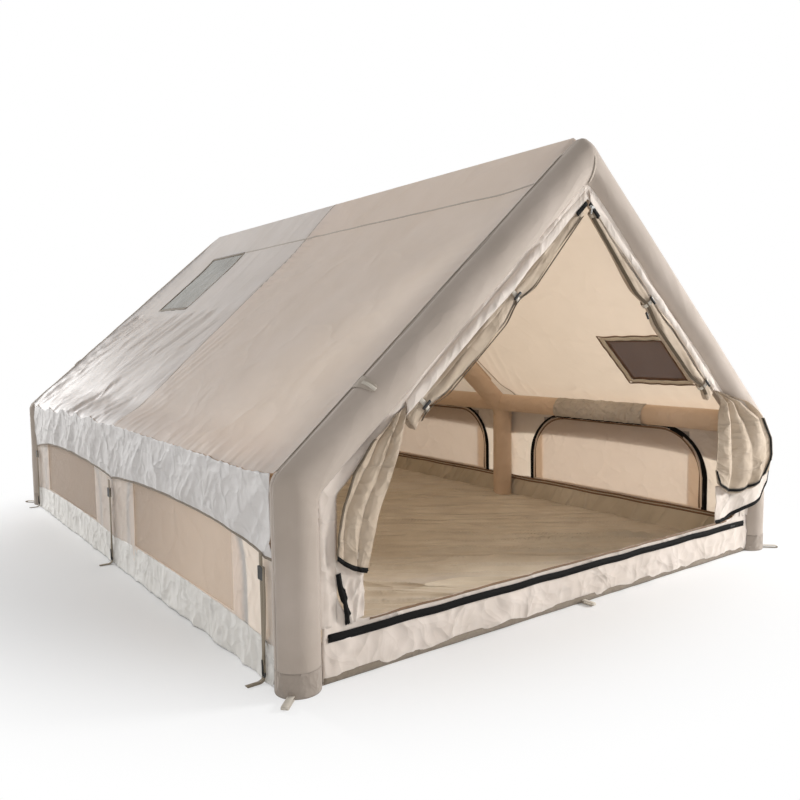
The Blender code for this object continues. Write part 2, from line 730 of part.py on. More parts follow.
def make_skirts():
    end = GABLE_Y - tube_reach(GABLE_TUBE_RADIUS, WALL_INSET + FABRIC) - VALANCE_END_GAP
    columns = SKIRT_FOLDS * COLUMNS_PER_FOLD

    def rows_at(column):
        y = -end + 2 * end * column / columns
        wave = math.cos(math.tau * SKIRT_FOLDS * column / columns)
        rows = []
        for share in SKIRT_ROW_SHARES:
            x = WALL_FACE + GAP + FABRIC / 2
            x += SKIRT_FOLD * (SKIRT_TOP_SHARE + (1 - SKIRT_TOP_SHARE) * share) * (1 + wave)
            rows.append((x, y, SKIRT_HEIGHT * (1 - share)))
        return rows

    for side_name, side in (("left", -1), ("right", 1)):
        place("mud_skirt_" + side_name, gathered_sheet(side, rows_at, columns, FABRIC),
              FINISHES["valance"], crease=CLOTH_CREASE_DEG)


def gable_outline():
    inset = GABLE_TUBE_RADIUS + math.sqrt(
        GABLE_TUBE_RADIUS ** 2 - (GABLE_BACK - GABLE_Y) ** 2) + GAP
    inset = inset / math.cos(math.pi / TUBE_SIDES) + GAP
    return [(point.x, point.z) for point in arch_line(inset, inset, 0)]


def doorway_outline(play=0, slope_play=0):
    """The doorway: sloping sides under the arch, short posts and rounded sill corners."""
    side = DOOR_SIDE - play
    sill = DOOR_SILL + play
    radius = DOOR_CORNER - play
    inset = DOOR_SLOPE_INSET + slope_play
    points = arc((side - radius, sill + radius), radius, -math.pi / 2, 0, CORNER_STEPS)
    points += [(side, roof_z(side, inset)), (0, roof_z(0, inset)), (-side, roof_z(side, inset))]
    points += arc((radius - side, sill + radius), radius, math.pi, 1.5 * math.pi, CORNER_STEPS)
    return points


def half_door_outline(side):
    """One leaf: half of the doorway, sewn along its slope and free round its zips.

    Its tip is cut off, so that the two leaves clear each other when they both swing out.
    """
    whole = doorway_outline(DOOR_PLAY, GAP)
    ridge = whole[CORNER_STEPS + 2]
    edge = DOOR_PLAY / 2
    clip = edge + DOOR_APEX_CLIP
    half = [(edge, whole[0][1])] + whole[:CORNER_STEPS + 2]
    half.append((clip, ridge[1] - clip * math.tan(SLOPE)))
    half.append((edge, ridge[1] - clip * math.tan(SLOPE) - DOOR_APEX_CLIP))
    return [(side * x, z) for x, z in half]


def gable_frame(end, face):
    """Places on a gable: u across, v up, w out of the tent from the given face."""
    return lambda u, v, w: Vector((u, end * (face + w), v))


def make_gables():
    for name, end in (("front", -1), ("rear", 1)):
        shape = bmesh.new()
        outline_prism(shape, gable_outline(), gable_frame(end, GABLE_BACK), FABRIC)
        wall = place(name + "_gable_wall", shape, FINISHES["canvas"], smooth=False)
        hole = bmesh.new()
        outline_prism(hole, doorway_outline(), gable_frame(end, GABLE_BACK - OVERRUN / 2),
                      FABRIC + OVERRUN)
        cut(wall, [cutter("guide_doorway_" + name, hole)])
        start = (0, end * (GABLE_FACE - FABRIC / 2), 0)
        fuse(wall, [make_loop(name + "_middle", start, (0, end, 0), LOOP_LENGTH)])


def door_axis(side, inset):
    """Top and shoulder of a line that a door leaf is sewn along."""
    top = Vector((0, 0, roof_z(0, inset)))
    shoulder = Vector((side * DOOR_SIDE, 0, roof_z(DOOR_SIDE, inset)))
    return top, shoulder


def make_rear_doors():
    for side_name, side in (("left", -1), ("right", 1)):
        shape = bmesh.new()
        outline_prism(shape, half_door_outline(side), gable_frame(1, GABLE_BACK), FABRIC)
        top, shoulder = door_axis(side, DOOR_SLOPE_INSET)
        origin = (top + shoulder) / 2 + Vector((0, GABLE_FACE, 0))
        place("rear_door_" + side_name, shape, FINISHES["canvas"], origin, smooth=False)


def make_front_rolls():
    """Each front leaf is rolled up along its slope and squeezed where it is tied."""
    for side_name, side in (("left", -1), ("right", 1)):
        shape = bmesh.new()
        rings = []
        for k in range(ROLL_RINGS + 1):
            share = k / ROLL_RINGS
            centre, down, inward = roll_frame(side, share)
            half = ROLL_WIDTH / 2 * roll_size(share)
            depth = ROLL_DEPTH / 2 * roll_size(share)
            ring = []
            for i in range(ROLL_SIDES):
                angle = math.tau * i / ROLL_SIDES
                turn = ROLL_FOLDS * angle + ROLL_TURNS * math.tau * share
                fold = 1 + ROLL_FOLD_SHARE * math.cos(turn)
                ring.append(centre + inward * (half * fold * math.cos(angle))
                            + Vector((0, depth * fold * math.sin(angle), 0)))
            rings.append(ring)
        rows = join_rings(shape, rings, closed=True)
        shape.faces.new(rows[0])
        shape.faces.new(list(reversed(rows[-1])))
        roll = place("front_door_" + side_name, shape, FINISHES["canvas"],
                     crease=CLOTH_CREASE_DEG)
        fuse(roll, make_door_ties(side_name, side))


def roll_size(share):
    """Thickness of the roll along its length, as a share of its full thickness."""
    size = ROLL_TOP_SHARE + (1 - ROLL_TOP_SHARE) * min(1, share / ROLL_GROWTH_SHARE)
    for tie in TIE_SHARES:
        size *= 1 - (1 - ROLL_TIE_SHARE) * smooth_step(1 - abs(share - tie) / ROLL_TIE_REACH_SHARE)
    return size


def tail_point(inner, outer, hem_rise, fold, folds, share, drop):
    """Place on a tail at a share across it and down it, as (across, out of the gable, up)."""
    top_x = TIE_ACROSS + TAIL_END_GAP
    top_x += (outer - top_x) * share
    low_x = inner + (outer - inner) * share
    x = top_x + (low_x - top_x) * drop ** TAIL_FLARE_POWER
    top_z = roof_z(top_x, DOOR_SLOPE_INSET - TAIL_LAP)
    low_z = TAIL_HEM + hem_rise * smooth_step(share)
    swing = math.sin(math.tau * folds * share + TAIL_FOLD_START)
    stand = LENGTH / 2 - GABLE_FACE + TAIL_STAND_PLAY
    out = fold * drop * (1 + swing) / 2
    out += stand * smooth_step((x - TAIL_STAND_START) / (TAIL_STAND_END - TAIL_STAND_START))
    return x, out, top_z + (low_z - top_z) * drop


def make_front_tails():
    """The loose lower part of each front leaf, hanging in folds from the last tie."""
    for side_name, side, axis_y, *sizes in (
            ("left", -1, GABLE_FACE, LEFT_TAIL_INNER, LEFT_TAIL_OUTER, 0, LEFT_TAIL_FOLD,
             LEFT_TAIL_FOLDS),
            ("right", 1, LENGTH / 2 + TAIL_STAND_PLAY, RIGHT_TAIL_INNER, RIGHT_TAIL_OUTER,
             RIGHT_TAIL_HEM_RISE, RIGHT_TAIL_FOLD, RIGHT_TAIL_FOLDS)):
        shape = bmesh.new()
        faces = []
        for skin in (0, TAIL_CLOTH):
            grid = []
            for r in range(TAIL_ROWS + 1):
                line = []
                for c in range(TAIL_COLUMNS + 1):
                    x, out, z = tail_point(*sizes, c / TAIL_COLUMNS, r / TAIL_ROWS)
                    line.append(Vector((side * x, -(GABLE_FACE + GAP + out + skin), z)))
                grid.append(line)
            faces.append(join_rings(shape, grid, closed=False))
        near, far = faces
        for r in range(TAIL_ROWS):
            for c in (0, -1):
                shape.faces.new((near[r][c], near[r + 1][c], far[r + 1][c], far[r][c]))
        for c in range(TAIL_COLUMNS):
            for r in (0, -1):
                shape.faces.new((near[r][c], near[r][c + 1], far[r][c + 1], far[r][c]))
        top, shoulder = door_axis(side, DOOR_SLOPE_INSET - TAIL_LAP)
        origin = shoulder + (top - shoulder) * TAIL_AXIS_SHARE
        origin.y = -axis_y
        place("front_door_" + side_name + "_tail", shape, FINISHES["canvas"], origin,
              crease=CLOTH_CREASE_DEG)


def make_zips():
    shape = bmesh.new()
    face = GABLE_FACE + GAP
    strip = [(-ZIP_SILL_HALF_LENGTH, ZIP_SILL_HEIGHT - ZIP_WIDTH / 2),
             (ZIP_SILL_HALF_LENGTH, ZIP_SILL_HEIGHT - ZIP_WIDTH / 2),
             (ZIP_SILL_HALF_LENGTH, ZIP_SILL_HEIGHT + ZIP_WIDTH / 2),
             (-ZIP_SILL_HALF_LENGTH, ZIP_SILL_HEIGHT + ZIP_WIDTH / 2)]
    outline_prism(shape, strip, gable_frame(-1, face), ZIP_THICKNESS)
    place("front_sill_zip", shape, FINISHES["black"], smooth=False)

    sill = bmesh.new()
    seat = face + ZIP_THICKNESS + GAP

    def along_sill(u, v, w):
        return Vector((SILL_SLIDER_START - v, -(seat + w), ZIP_SILL_HEIGHT + u))

    slider_with_tab(sill, along_sill)
    place("front_sill_slider", sill, FINISHES["black"],
          (SILL_SLIDER_START, -seat, ZIP_SILL_HEIGHT))

    rear = bmesh.new()
    x = -(DOOR_PLAY / 2 + SLIDER_WIDTH / 2)

    def up_centre(u, v, w):
        return Vector((x + u, face + w, REAR_SLIDER_START + v))

    slider_with_tab(rear, up_centre)
    place("rear_door_slider", rear, FINISHES["black"], (x, face, REAR_SLIDER_START))


def make_pouch():
    """A fabric pocket wrapped round the inner side of the right front eave tube."""
    shape = bmesh.new()
    start = math.radians(POUCH_START_DEG)
    end = math.radians(POUCH_END_DEG)
    peak = math.radians(POUCH_BULGE_DEG)
    half_step = (end - start) / POUCH_STEPS / 2
    inside = (EAVE_TUBE_RADIUS + GAP) / math.cos(half_step)
    inner = []
    outer = []
    for k in range(POUCH_STEPS + 1):
        angle = start + (end - start) * k / POUCH_STEPS
        bulge = POUCH_BULGE * max(0, math.cos((angle - peak) * POUCH_BULGE_TURN)) ** 2
        inner.append((inside * math.cos(angle), inside * math.sin(angle)))
        reach = inside + POUCH_WALL + bulge
        outer.append((reach * math.cos(angle), reach * math.sin(angle)))
    outline = inner + list(reversed(outer))

    def to_world(u, v, w):
        return Vector((EAVE_TUBE_X + u, -POUCH_FROM_MIDDLE - w, EAVE_TUBE_Z + v))

    outline_prism(shape, outline, to_world, POUCH_LENGTH)
    place("beam_pouch", shape, FINISHES["pouch"])


def make_valves():
    x = HALF_WIDTH - GABLE_TUBE_RADIUS
    face = LENGTH / 2 + GAP
    body = bmesh.new()
    top = VALVE_FLANGE + VALVE_BARREL
    profile = [(0, 0), (VALVE_FLANGE_RADIUS, 0), (VALVE_FLANGE_RADIUS, VALVE_FLANGE),
               (VALVE_BARREL_RADIUS, VALVE_FLANGE), (VALVE_BARREL_RADIUS, top),
               (VALVE_BORE_RADIUS, top), (VALVE_BORE_RADIUS, VALVE_FLOOR), (0, VALVE_FLOOR)]
    revolve(body, profile, (x, face, VALVE_HEIGHT), (0, 1, 0), ROUND_SIDES)
    place("inflation_valve_body", body, FINISHES["plastic"])

    cap = bmesh.new()
    seat = face + top + GAP
    hinge_z = VALVE_HEIGHT + VALVE_BARREL_RADIUS + VALVE_CAP_TAB
    rim = VALVE_CAP_TAB_WIDTH / 2
    spread = math.asin(rim / VALVE_CAP_RADIUS)
    outline = arc((0, 0), VALVE_CAP_RADIUS, math.pi / 2 + spread, 2.5 * math.pi - spread,
                  ROUND_SIDES)
    outline += [(rim, hinge_z - VALVE_HEIGHT), (-rim, hinge_z - VALVE_HEIGHT)]
    outline_prism(cap, outline, lambda u, v, w: Vector((x + u, seat + w, VALVE_HEIGHT + v)),
                  VALVE_CAP)
    place("inflation_valve_cap", cap, FINISHES["plastic"], (x, seat, hinge_z))

    relief = bmesh.new()
    shoulder = RELIEF_FLANGE + RELIEF_DOME
    crown = shoulder + RELIEF_DOME_ROUND
    profile = [(0, 0), (RELIEF_RADIUS, 0), (RELIEF_RADIUS, RELIEF_FLANGE),
               (RELIEF_DOME_RADIUS, RELIEF_FLANGE), (RELIEF_DOME_RADIUS, shoulder),
               (RELIEF_DOME_RADIUS - RELIEF_DOME_ROUND, crown), (0, crown)]
    revolve(relief, profile, (x, face, RELIEF_HEIGHT), (0, 1, 0), ROUND_SIDES)
    place("relief_valve", relief, FINISHES["plastic"])


def strap_line(y, hem_x):
    """Top and foot of the middle of a strap, as (x, z)."""
    return (hem_x, hem_height(y) + STRAP_LAP), (STRAP_FOOT_X, 0)


def make_strap(label, side, y, hem_x):
    """A strap sewn into the valance's hem, ending in a flat loop for a peg."""
    top, foot = strap_line(y, hem_x)
    lean = math.atan2(foot[0] - top[0], top[1] - foot[1])
    half = STRAP_THICKNESS / 2 / math.cos(lean)
    end = foot[0] + LOOP_LENGTH
    outline = [(top[0] - half, top[1]), (foot[0] - half, 0), (end, 0), (end, LOOP_THICKNESS),
               (foot[0] + half, LOOP_THICKNESS), (top[0] + half, top[1])]
    shape = bmesh.new()
    outline_prism(shape, outline,
                  lambda u, v, w: Vector((side * u, y - STRAP_WIDTH / 2 + w, v)), STRAP_WIDTH)
    strap = cutter("guide_strap_" + label, shape)
    hole = bmesh.new()
    revolve(hole, [(0, 0), (LOOP_EYE_RADIUS, 0), (LOOP_EYE_RADIUS, 2 * OVERRUN), (0, 2 * OVERRUN)],
            (side * (end - LOOP_WIDTH / 2), y, -OVERRUN), (0, 0, 1), EYE_SIDES)
    return strap, cutter("guide_eye_" + label, hole), lean


def make_buckle(label, side, y, hem_x, lean):
    """A ladder buckle that the strap runs through."""
    top, foot = strap_line(y, hem_x)
    share = BUCKLE_DROP / (top[1] - foot[1])
    at = (top[0] + (foot[0] - top[0]) * share, top[1] - BUCKLE_DROP)
    centre = Vector((side * at[0], y, at[1]))
    along = Vector((side * math.sin(lean), 0, -math.cos(lean)))
    out = Vector((side * math.cos(lean), 0, math.sin(lean)))
    across = Vector((0, 1, 0))
    outer = rounded_rectangle(BUCKLE_WIDTH, BUCKLE_HEIGHT, BUCKLE_CORNER)
    shape = bmesh.new()
    outline_prism(shape, outer, lambda u, v, w: centre + across * u + along * v
                  + out * (w - BUCKLE_THICKNESS / 2), BUCKLE_THICKNESS)
    made = place("strap_buckle_" + label, shape, FINISHES["black"], centre, smooth=False)
    slot = bmesh.new()
    width = STRAP_WIDTH / 2 + BUCKLE_SLOT_PLAY
    depth = STRAP_THICKNESS / 2 + BUCKLE_SLOT_PLAY
    length = BUCKLE_HEIGHT / 2 + OVERRUN
    outline = [(-width, -depth), (width, -depth), (width, depth), (-width, depth)]
    outline_prism(slot, outline, lambda u, v, w: centre + across * u + out * v
                  + along * (w - length), 2 * length)
    cut(made, [cutter("guide_buckle_" + label, slot)])


def eyed_tab(shape, outline, eye, eye_radius, to_world, thickness):
    """A flat tab with a round eye, built as a ring of faces between the two outlines."""
    count = len(outline)
    middle = Vector(eye)
    hole = []
    for u, v in outline:
        ray = (Vector((u, v)) - middle).normalized() * eye_radius
        hole.append((middle.x + ray.x, middle.y + ray.y))
    layers = []
    for depth in (0, thickness):
        layers.append(([shape.verts.new(to_world(u, v, depth)) for u, v in outline],
                       [shape.verts.new(to_world(u, v, depth)) for u, v in hole]))
    (low_out, low_in), (high_out, high_in) = layers
    for i in range(count):
        j = (i + 1) % count
        shape.faces.new((low_out[i], low_out[j], low_in[j], low_in[i]))
        shape.faces.new((high_out[j], high_out[i], high_in[i], high_in[j]))
        shape.faces.new((low_out[j], low_out[i], high_out[i], high_out[j]))
        shape.faces.new((low_in[i], low_in[j], high_in[j], high_in[i]))


def make_loop(name, base, direction, length):
    """A flat webbing loop on the ground, with a round eye for a peg."""
    direction = Vector(direction).normalized()
    across = Vector((0, 0, 1)).cross(direction)
    base = Vector(base)
    half = LOOP_WIDTH / 2
    tip = arc((length - half, 0), half, -math.pi / 2, math.pi / 2, 2 * CORNER_STEPS)
    outline = [(0, half), (0, 0), (0, -half)] + tip
    shape = bmesh.new()
    eyed_tab(shape, outline, (length - half, 0), LOOP_EYE_RADIUS,
             lambda u, v, w: base + direction * u + across * v + Vector((0, 0, w)),
             LOOP_THICKNESS)
    return cutter("guide_loop_" + name, shape)


def make_corner_loops(name, y):
    """Peg loops sewn to the feet of a gable arch, pointing out from the tent's corners."""
    loops = []
    for side in (-1, 1):
        out = Vector((side, math.copysign(1, y), 0)).normalized()
        foot = Vector((side * (HALF_WIDTH - GABLE_TUBE_RADIUS), y, 0))
        start = foot + out * (GABLE_TUBE_RADIUS - SLEEVE_WALL / 2)
        label = name + ("_left" if side < 0 else "_right")
        loops.append(make_loop(label, start, out, CORNER_LOOP_LENGTH))
    return loops


def make_guy_tabs(name, y):
    """Webbing tabs that stand off the slopes of a gable arch for the guy lines."""
    tabs = []
    for side in (-1, 1):
        seat = slope_frame(side, y, HALF_WIDTH * GUY_TAB_SHARE, SLEEVE_WALL / 2)
        base = GUY_TAB_BASE / 2
        tip = GUY_TAB_TIP / 2
        outline = [(-base, 0), (0, 0), (base, 0), (tip, GUY_TAB_LENGTH),
                   (0, GUY_TAB_LENGTH + tip / 2), (-tip, GUY_TAB_LENGTH)]
        shape = bmesh.new()
        eyed_tab(shape, outline, (0, GUY_TAB_LENGTH - tip), GUY_TAB_EYE_RADIUS,
                 lambda u, v, w: seat(w - GUY_TAB_THICKNESS / 2, u, v), GUY_TAB_THICKNESS)
        label = name + ("_left" if side < 0 else "_right")
        tabs.append(cutter("guide_guy_tab_" + label, shape))
    return tabs


def roll_frame(side, share):
    """Centre of a rolled leaf at a share of its length, and its two directions."""
    down = Vector((side * math.cos(SLOPE), 0, -math.sin(SLOPE)))
    inward = Vector((-side * math.sin(SLOPE), 0, -math.cos(SLOPE)))
    start = Vector((side * ROLL_WIDTH / 2, -GABLE_FACE,
                    roof_z(ROLL_WIDTH / 2, DOOR_SLOPE_INSET + GAP)))
    length = (TIE_ACROSS - ROLL_WIDTH / 2) / math.cos(SLOPE)
    reach = ROLL_WIDTH / 2 * roll_size(share) * (1 + ROLL_FOLD_SHARE) + GAP
    return start + down * (length * share) + inward * reach, down, inward


def make_door_ties(side_name, side):
    """Webbing bands round a rolled leaf, each with a toggle in front."""
    ties = []
    for place_name, share in zip(("upper", "lower"), TIE_SHARES):
        centre, down, inward = roll_frame(side, share)
        centre -= down * (TIE_BAND_WIDTH / 2)
        size = roll_size(share) * (1 + ROLL_FOLD_SHARE)
        half = ROLL_WIDTH / 2 * size - TIE_BAND_SINK
        depth = ROLL_DEPTH / 2 * size - TIE_BAND_SINK
        grow = TIE_BAND_SINK + TIE_BAND_THICKNESS
        circle = arc((0, 0), 1, math.radians(TIE_BAND_START_DEG),
                     math.radians(TIE_BAND_END_DEG), TIE_BAND_STEPS)
        inner = [(half * u, depth * v) for u, v in circle]
        outer = [((half + grow) * u, (depth + grow) * v) for u, v in circle]
        label = side_name + "_" + place_name
        band = bmesh.new()
        outline_prism(band, inner + list(reversed(outer)),
                      lambda u, v, w: centre + inward * u + Vector((0, v, 0)) + down * w,
                      TIE_BAND_WIDTH)
        ties.append(cutter("guide_tie_" + label, band))
        reach = depth + grow + TIE_TOGGLE_RADIUS - TIE_BAND_THICKNESS / 2
        toggle = bmesh.new()
        start = centre + Vector((0, -reach, 0)) - down * (TIE_TOGGLE_LENGTH - TIE_BAND_WIDTH) / 2
        profile = [(0, 0), (TIE_TOGGLE_RADIUS, 0), (TIE_TOGGLE_RADIUS, TIE_TOGGLE_LENGTH),
                   (0, TIE_TOGGLE_LENGTH)]
        revolve(toggle, profile, start, down, EYE_SIDES)
        ties.append(cutter("guide_toggle_" + label, toggle))
    return ties


start_clean()
FINISHES = {
    "cutter": material("guide", (0.5, 0.5, 0.5), 0.5),
    "canvas": material("beige_canvas", (0.56, 0.49, 0.42), 0.85),
    "roof": material("coated_roof_canvas", (0.57, 0.50, 0.44), 0.75),
    "wall": material("wall_canvas", (0.66, 0.57, 0.47), 0.85),
    "valance": material("gathered_canvas", (0.68, 0.64, 0.60), 0.85),
    "inner": material("inner_lining", (0.70, 0.58, 0.46), 0.85),
    "tube": material("inner_tube_sleeve", (0.58, 0.44, 0.30), 0.80),
    "bladder": material("air_bladder_film", (0.80, 0.82, 0.80), 0.35),
    "floor": material("groundsheet_cloth", (0.46, 0.37, 0.28), 0.70),
    "net": material("insect_mesh", (0.35, 0.32, 0.28), 0.90),
    "sky_film": material("clear_window_film", (0.72, 0.76, 0.72), 0.15),
    "sky_mesh": material("brown_mesh", (0.20, 0.13, 0.09), 0.90),
    "pouch": material("grey_pocket_cloth", (0.33, 0.29, 0.25), 0.85),
    "black": material("black_zip_tape", (0.02, 0.02, 0.02), 0.60),
    "plastic": material("grey_valve_plastic", (0.12, 0.12, 0.12), 0.45),
}
make_arches()
arch_guides = make_arch_cutters()
make_eave_tubes(arch_guides)
make_roof()
make_side_walls()
make_groundsheet(arch_guides)
make_valances()
make_skirts()
make_gables()
make_rear_doors()
make_front_rolls()
make_front_tails()
make_zips()
make_pouch()
make_valves()
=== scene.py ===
"""Looks of an inflatable cabin tent: sewn canvas shell, air tubes, zips and webbing.

Metres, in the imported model's own frame: X across the tent, the doorway towards -Y.
"""

import math

import bmesh
import bpy
import numpy as np
from mathutils import Matrix, Vector


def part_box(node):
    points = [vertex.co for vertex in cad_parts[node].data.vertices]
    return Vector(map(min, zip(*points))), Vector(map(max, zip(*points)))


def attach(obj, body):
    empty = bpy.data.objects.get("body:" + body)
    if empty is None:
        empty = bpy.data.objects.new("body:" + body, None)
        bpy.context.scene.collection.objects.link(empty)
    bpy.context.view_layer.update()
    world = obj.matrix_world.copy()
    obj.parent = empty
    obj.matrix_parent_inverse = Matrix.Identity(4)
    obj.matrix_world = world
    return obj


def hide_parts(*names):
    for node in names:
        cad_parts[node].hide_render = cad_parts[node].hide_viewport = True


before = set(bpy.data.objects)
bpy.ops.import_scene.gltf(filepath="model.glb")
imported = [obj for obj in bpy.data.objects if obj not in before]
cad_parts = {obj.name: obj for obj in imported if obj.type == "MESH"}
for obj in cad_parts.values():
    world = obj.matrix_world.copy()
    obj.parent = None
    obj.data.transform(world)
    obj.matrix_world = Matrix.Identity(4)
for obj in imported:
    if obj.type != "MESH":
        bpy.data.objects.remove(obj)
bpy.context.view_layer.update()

# Outside of the air frame
HALF_WIDTH = 1.5
EAVE = 0.73
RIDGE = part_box("front_arch_sleeve")[1][2]
SLOPE = math.atan2(RIDGE - EAVE, HALF_WIDTH)
COS = math.cos(SLOPE)
SIN = math.sin(SLOPE)
TAN = math.tan(SLOPE)
GABLE_RADIUS = 0.080
GABLE_Y = 1.920
WALL_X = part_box("side_wall_right")[1][0]
TRAY_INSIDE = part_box("window_cover_right_front")[0][0]
ROOF_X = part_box("roof_canopy")[1][0]
GABLE_FACE = -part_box("front_door_left_tail")[1][1]
DOOR_INSET = 0.200
DOOR_SIDE = 1.280
DOOR_SILL = 0.200
VALANCE_DROP = 0.280
MIDDLE = (0, 0, 0.7)

# Names and directions of what is made twice, and which way a piece looks
SIDES = (("left", -1), ("right", 1))
ENDS = (("front", -1), ("rear", 1))
TO_FRONT = (0, -1, 0)
TO_REAR = (0, 1, 0)

# How thick cloth is drawn: two layers, stout cloth and webbing, light cloth
DOUBLE = 0.0016
THICK = 0.0014
THIN = 0.0012
COIL = 0.0024

WORLD_LEVEL = 0.42


# Numbers that stand in for chance: the same on every run


def scatter(i, j, seed):
    """A fixed value from -1 to 1 for each point of a whole-number lattice."""
    n = (i * 374761393 + j * 668265263 + seed * 974634777) & 0xFFFFFFFF
    n = ((n ^ (n >> 13)) * 1274126177) & 0xFFFFFFFF
    return ((n ^ (n >> 16)) & 0xFFFF) / 32767.5 - 1


def rumple(u, v, seed=0):
    """Smooth hills and hollows about one unit across, from -1 to 1."""
    u, v = np.broadcast_arrays(np.asarray(u, float), np.asarray(v, float))
    i, j = np.floor(u).astype(np.int64), np.floor(v).astype(np.int64)
    a, b = u - i, v - j
    a, b = a * a * (3 - 2 * a), b * b * (3 - 2 * b)
    low = scatter(i, j, seed) * (1 - a) + scatter(i + 1, j, seed) * a
    high = scatter(i, j + 1, seed) * (1 - a) + scatter(i + 1, j + 1, seed) * a
    return low * (1 - b) + high * b


def ridges(u, v, seed, power=3):
    """Thin raised folds, about one unit apart across u, that wander along v: from 0 to 1."""
    return (1 - np.abs(rumple(u, v, seed))) ** power


def crease(u, v, seed=0):
    """Sharp folds with soft hollows between them, from 0 to 1."""
    bent = u + 0.6 * rumple(u * 0.6, v * 0.6, seed + 7)
    across = v + 0.6 * rumple(u * 0.6, v * 0.6, seed + 8)
    return 0.65 * ridges(bent, across, seed) + 0.35 * ridges(bent * 2.1, across * 2.1, seed + 1)


def ease(x, start, end):
    """0 before start, 1 after end, with a soft change between them."""
    t = np.clip((x - start) / (end - start), 0, 1)
    return t * t * (3 - 2 * t)


def hump(x, middle, width):
    """1 at the middle, falling off softly on both sides."""
    return np.exp(-((x - middle) / width) ** 2)


def steps(start, end, size, stops=()):
    """Values from start to end about size apart, which pass through each stop."""
    marks = sorted({start, end, *stops})
    values = [np.linspace(a, b, max(2, round((b - a) / size) + 1))[:-1]
              for a, b in zip(marks, marks[1:])]
    return np.append(np.concatenate(values), marks[-1])


def path(x, y, z):
    """Points from three coordinates, which may be arrays or single numbers."""
    return np.stack(np.broadcast_arrays(x, y, z), axis=1)


# Materials


def linear(colour):
    """An sRGB hex colour as linear red, green, blue and full alpha."""
    parts = [int(colour[i:i + 2], 16) / 255 for i in (0, 2, 4)]
    return (*[p / 12.92 if p <= 0.04045 else ((p + 0.055) / 1.055) ** 2.4 for p in parts], 1)


def add(tree, kind, links=(), **settings):
    """Add a node: settings are its properties or its plain inputs, links are (input, socket)."""
    node = tree.nodes.new("ShaderNode" + kind)
    for name, value in settings.items():
        if hasattr(node, name):
            setattr(node, name, value)
        else:
            node.inputs[name.replace("_", " ")].default_value = value
    for name, socket in links:
        tree.links.new(socket, node.inputs[name])
    return node


def join(tree, operation, first, second):
    """One value from two sockets."""
    return add(tree, "Math", [(0, first), (1, second)], operation=operation).outputs["Value"]


def mix(tree, first, second, links=(), **settings):
    """Two shaders mixed: the input Fac is the second one's share."""
    ends = [(1, first.outputs[0]), (2, second.outputs[0])]
    return add(tree, "MixShader", [*links, *ends], **settings)


def ramp(tree, share, low, high, start=0, end=1):
    """A colour that changes from low at start to high at end."""
    made = add(tree, "ValToRGB", [("Fac", share)])
    first, last = made.color_ramp.elements
    first.position, first.color = start, low
    last.position, last.color = end, high
    return made.outputs["Color"]


def bands(tree, flat, size_mm, direction, bend=0.0):
    """Parallel threads or ribs on a cloth's UV map: each is about size_mm wide, and so is a gap."""
    made = add(tree, "TexWave", [("Vector", flat)], wave_type="BANDS", bands_direction=direction,
               Scale=1000 / size_mm / 6.283, Distortion=bend)
    return made.outputs["Fac"]


def noise(tree, place, scale, detail, **settings):
    made = add(tree, "TexNoise", [("Vector", place)], Scale=scale, Detail=detail, **settings)
    return made.outputs["Fac"]


def relief(tree, height, strength, distance, under=()):
    """A bump, as the link that a shader or the next bump takes."""
    made = add(tree, "Bump", [("Height", height), *under], Strength=strength, Distance=distance)
    return "Normal", made.outputs["Normal"]


def start_material(name):
    made = bpy.data.materials.new(name)
    made.use_nodes = True
    tree = made.node_tree
    tree.nodes.clear()
    return made, tree


def own_uv(tree):
    """The UV map that every cloth has, in metres on its flat cut."""
    return add(tree, "UVMap", uv_map="cloth").outputs["UV"]


def end_material(made, tree, shader):
    add(tree, "OutputMaterial", [("Surface", shader.outputs[0])])
    return made


def woven(name, colour, shade, creases, crease_mm, draw=(1, 1), turn=0, roughness=0.85,
          sheen=0.15, glow=0.0, through="FFFFFF"):
    """Woven cloth: threads both ways on its UV map, crumpled creases and a patchy tone.

    creases is how steep the creases are; draw stretches them along or across the cloth, after
    turn, in degrees, has turned them on it.
    glow is the share of the light that passes through it, tinted with the colour through.
    """
    made, tree = start_material(name)
    flat = own_uv(tree)
    patch = noise(tree, flat, 2.5, 4.0, Roughness=0.6)
    tone = ramp(tree, patch, linear(shade), linear(colour), 0.35, 0.65)
    # Real threads are 0.4 mm apart; these are drawn 2.4 mm wide so that they show
    threads = join(tree, "ADD", *[bands(tree, flat, 2.4, way, 0.4) for way in "XY"])
    weave = relief(tree, threads, 0.12, 0.0006)
    # Crumples: hollows with sharp ridges between them, bent so that no two are alike
    drawn = add(tree, "Mapping", [("Vector", flat)], vector_type="TEXTURE",
                Rotation=(0, 0, math.radians(turn)), Scale=(1 / draw[0], 1 / draw[1], 1))
    bend = add(tree, "TexNoise", [("Vector", drawn.outputs["Vector"])], Scale=500 / crease_mm,
               Detail=2.0)
    bent = add(tree, "VectorMath", [(0, bend.outputs["Color"]), (2, drawn.outputs["Vector"])],
               operation="MULTIPLY_ADD")
    bent.inputs[1].default_value = [0.0022 * crease_mm] * 3
    plates = add(tree, "TexVoronoi", [("Vector", bent.outputs["Vector"])],
                 Scale=1000 / crease_mm, Detail=1.0, Roughness=0.35, Lacunarity=2.4)
    bowls = join(tree, "MULTIPLY", *[plates.outputs["Distance"]] * 2)
    rough = relief(tree, bowls, 1.0, creases * crease_mm / 1000, [weave])
    shader = add(tree, "BsdfPrincipled", [("Base Color", tone), rough], Roughness=roughness,
                 Sheen_Weight=sheen, Specular_IOR_Level=0.3)
    if glow:
        lit = add(tree, "BsdfTranslucent", [rough], Color=linear(through))
        shader = mix(tree, shader, lit, Fac=glow)
    return end_material(made, tree, shader)


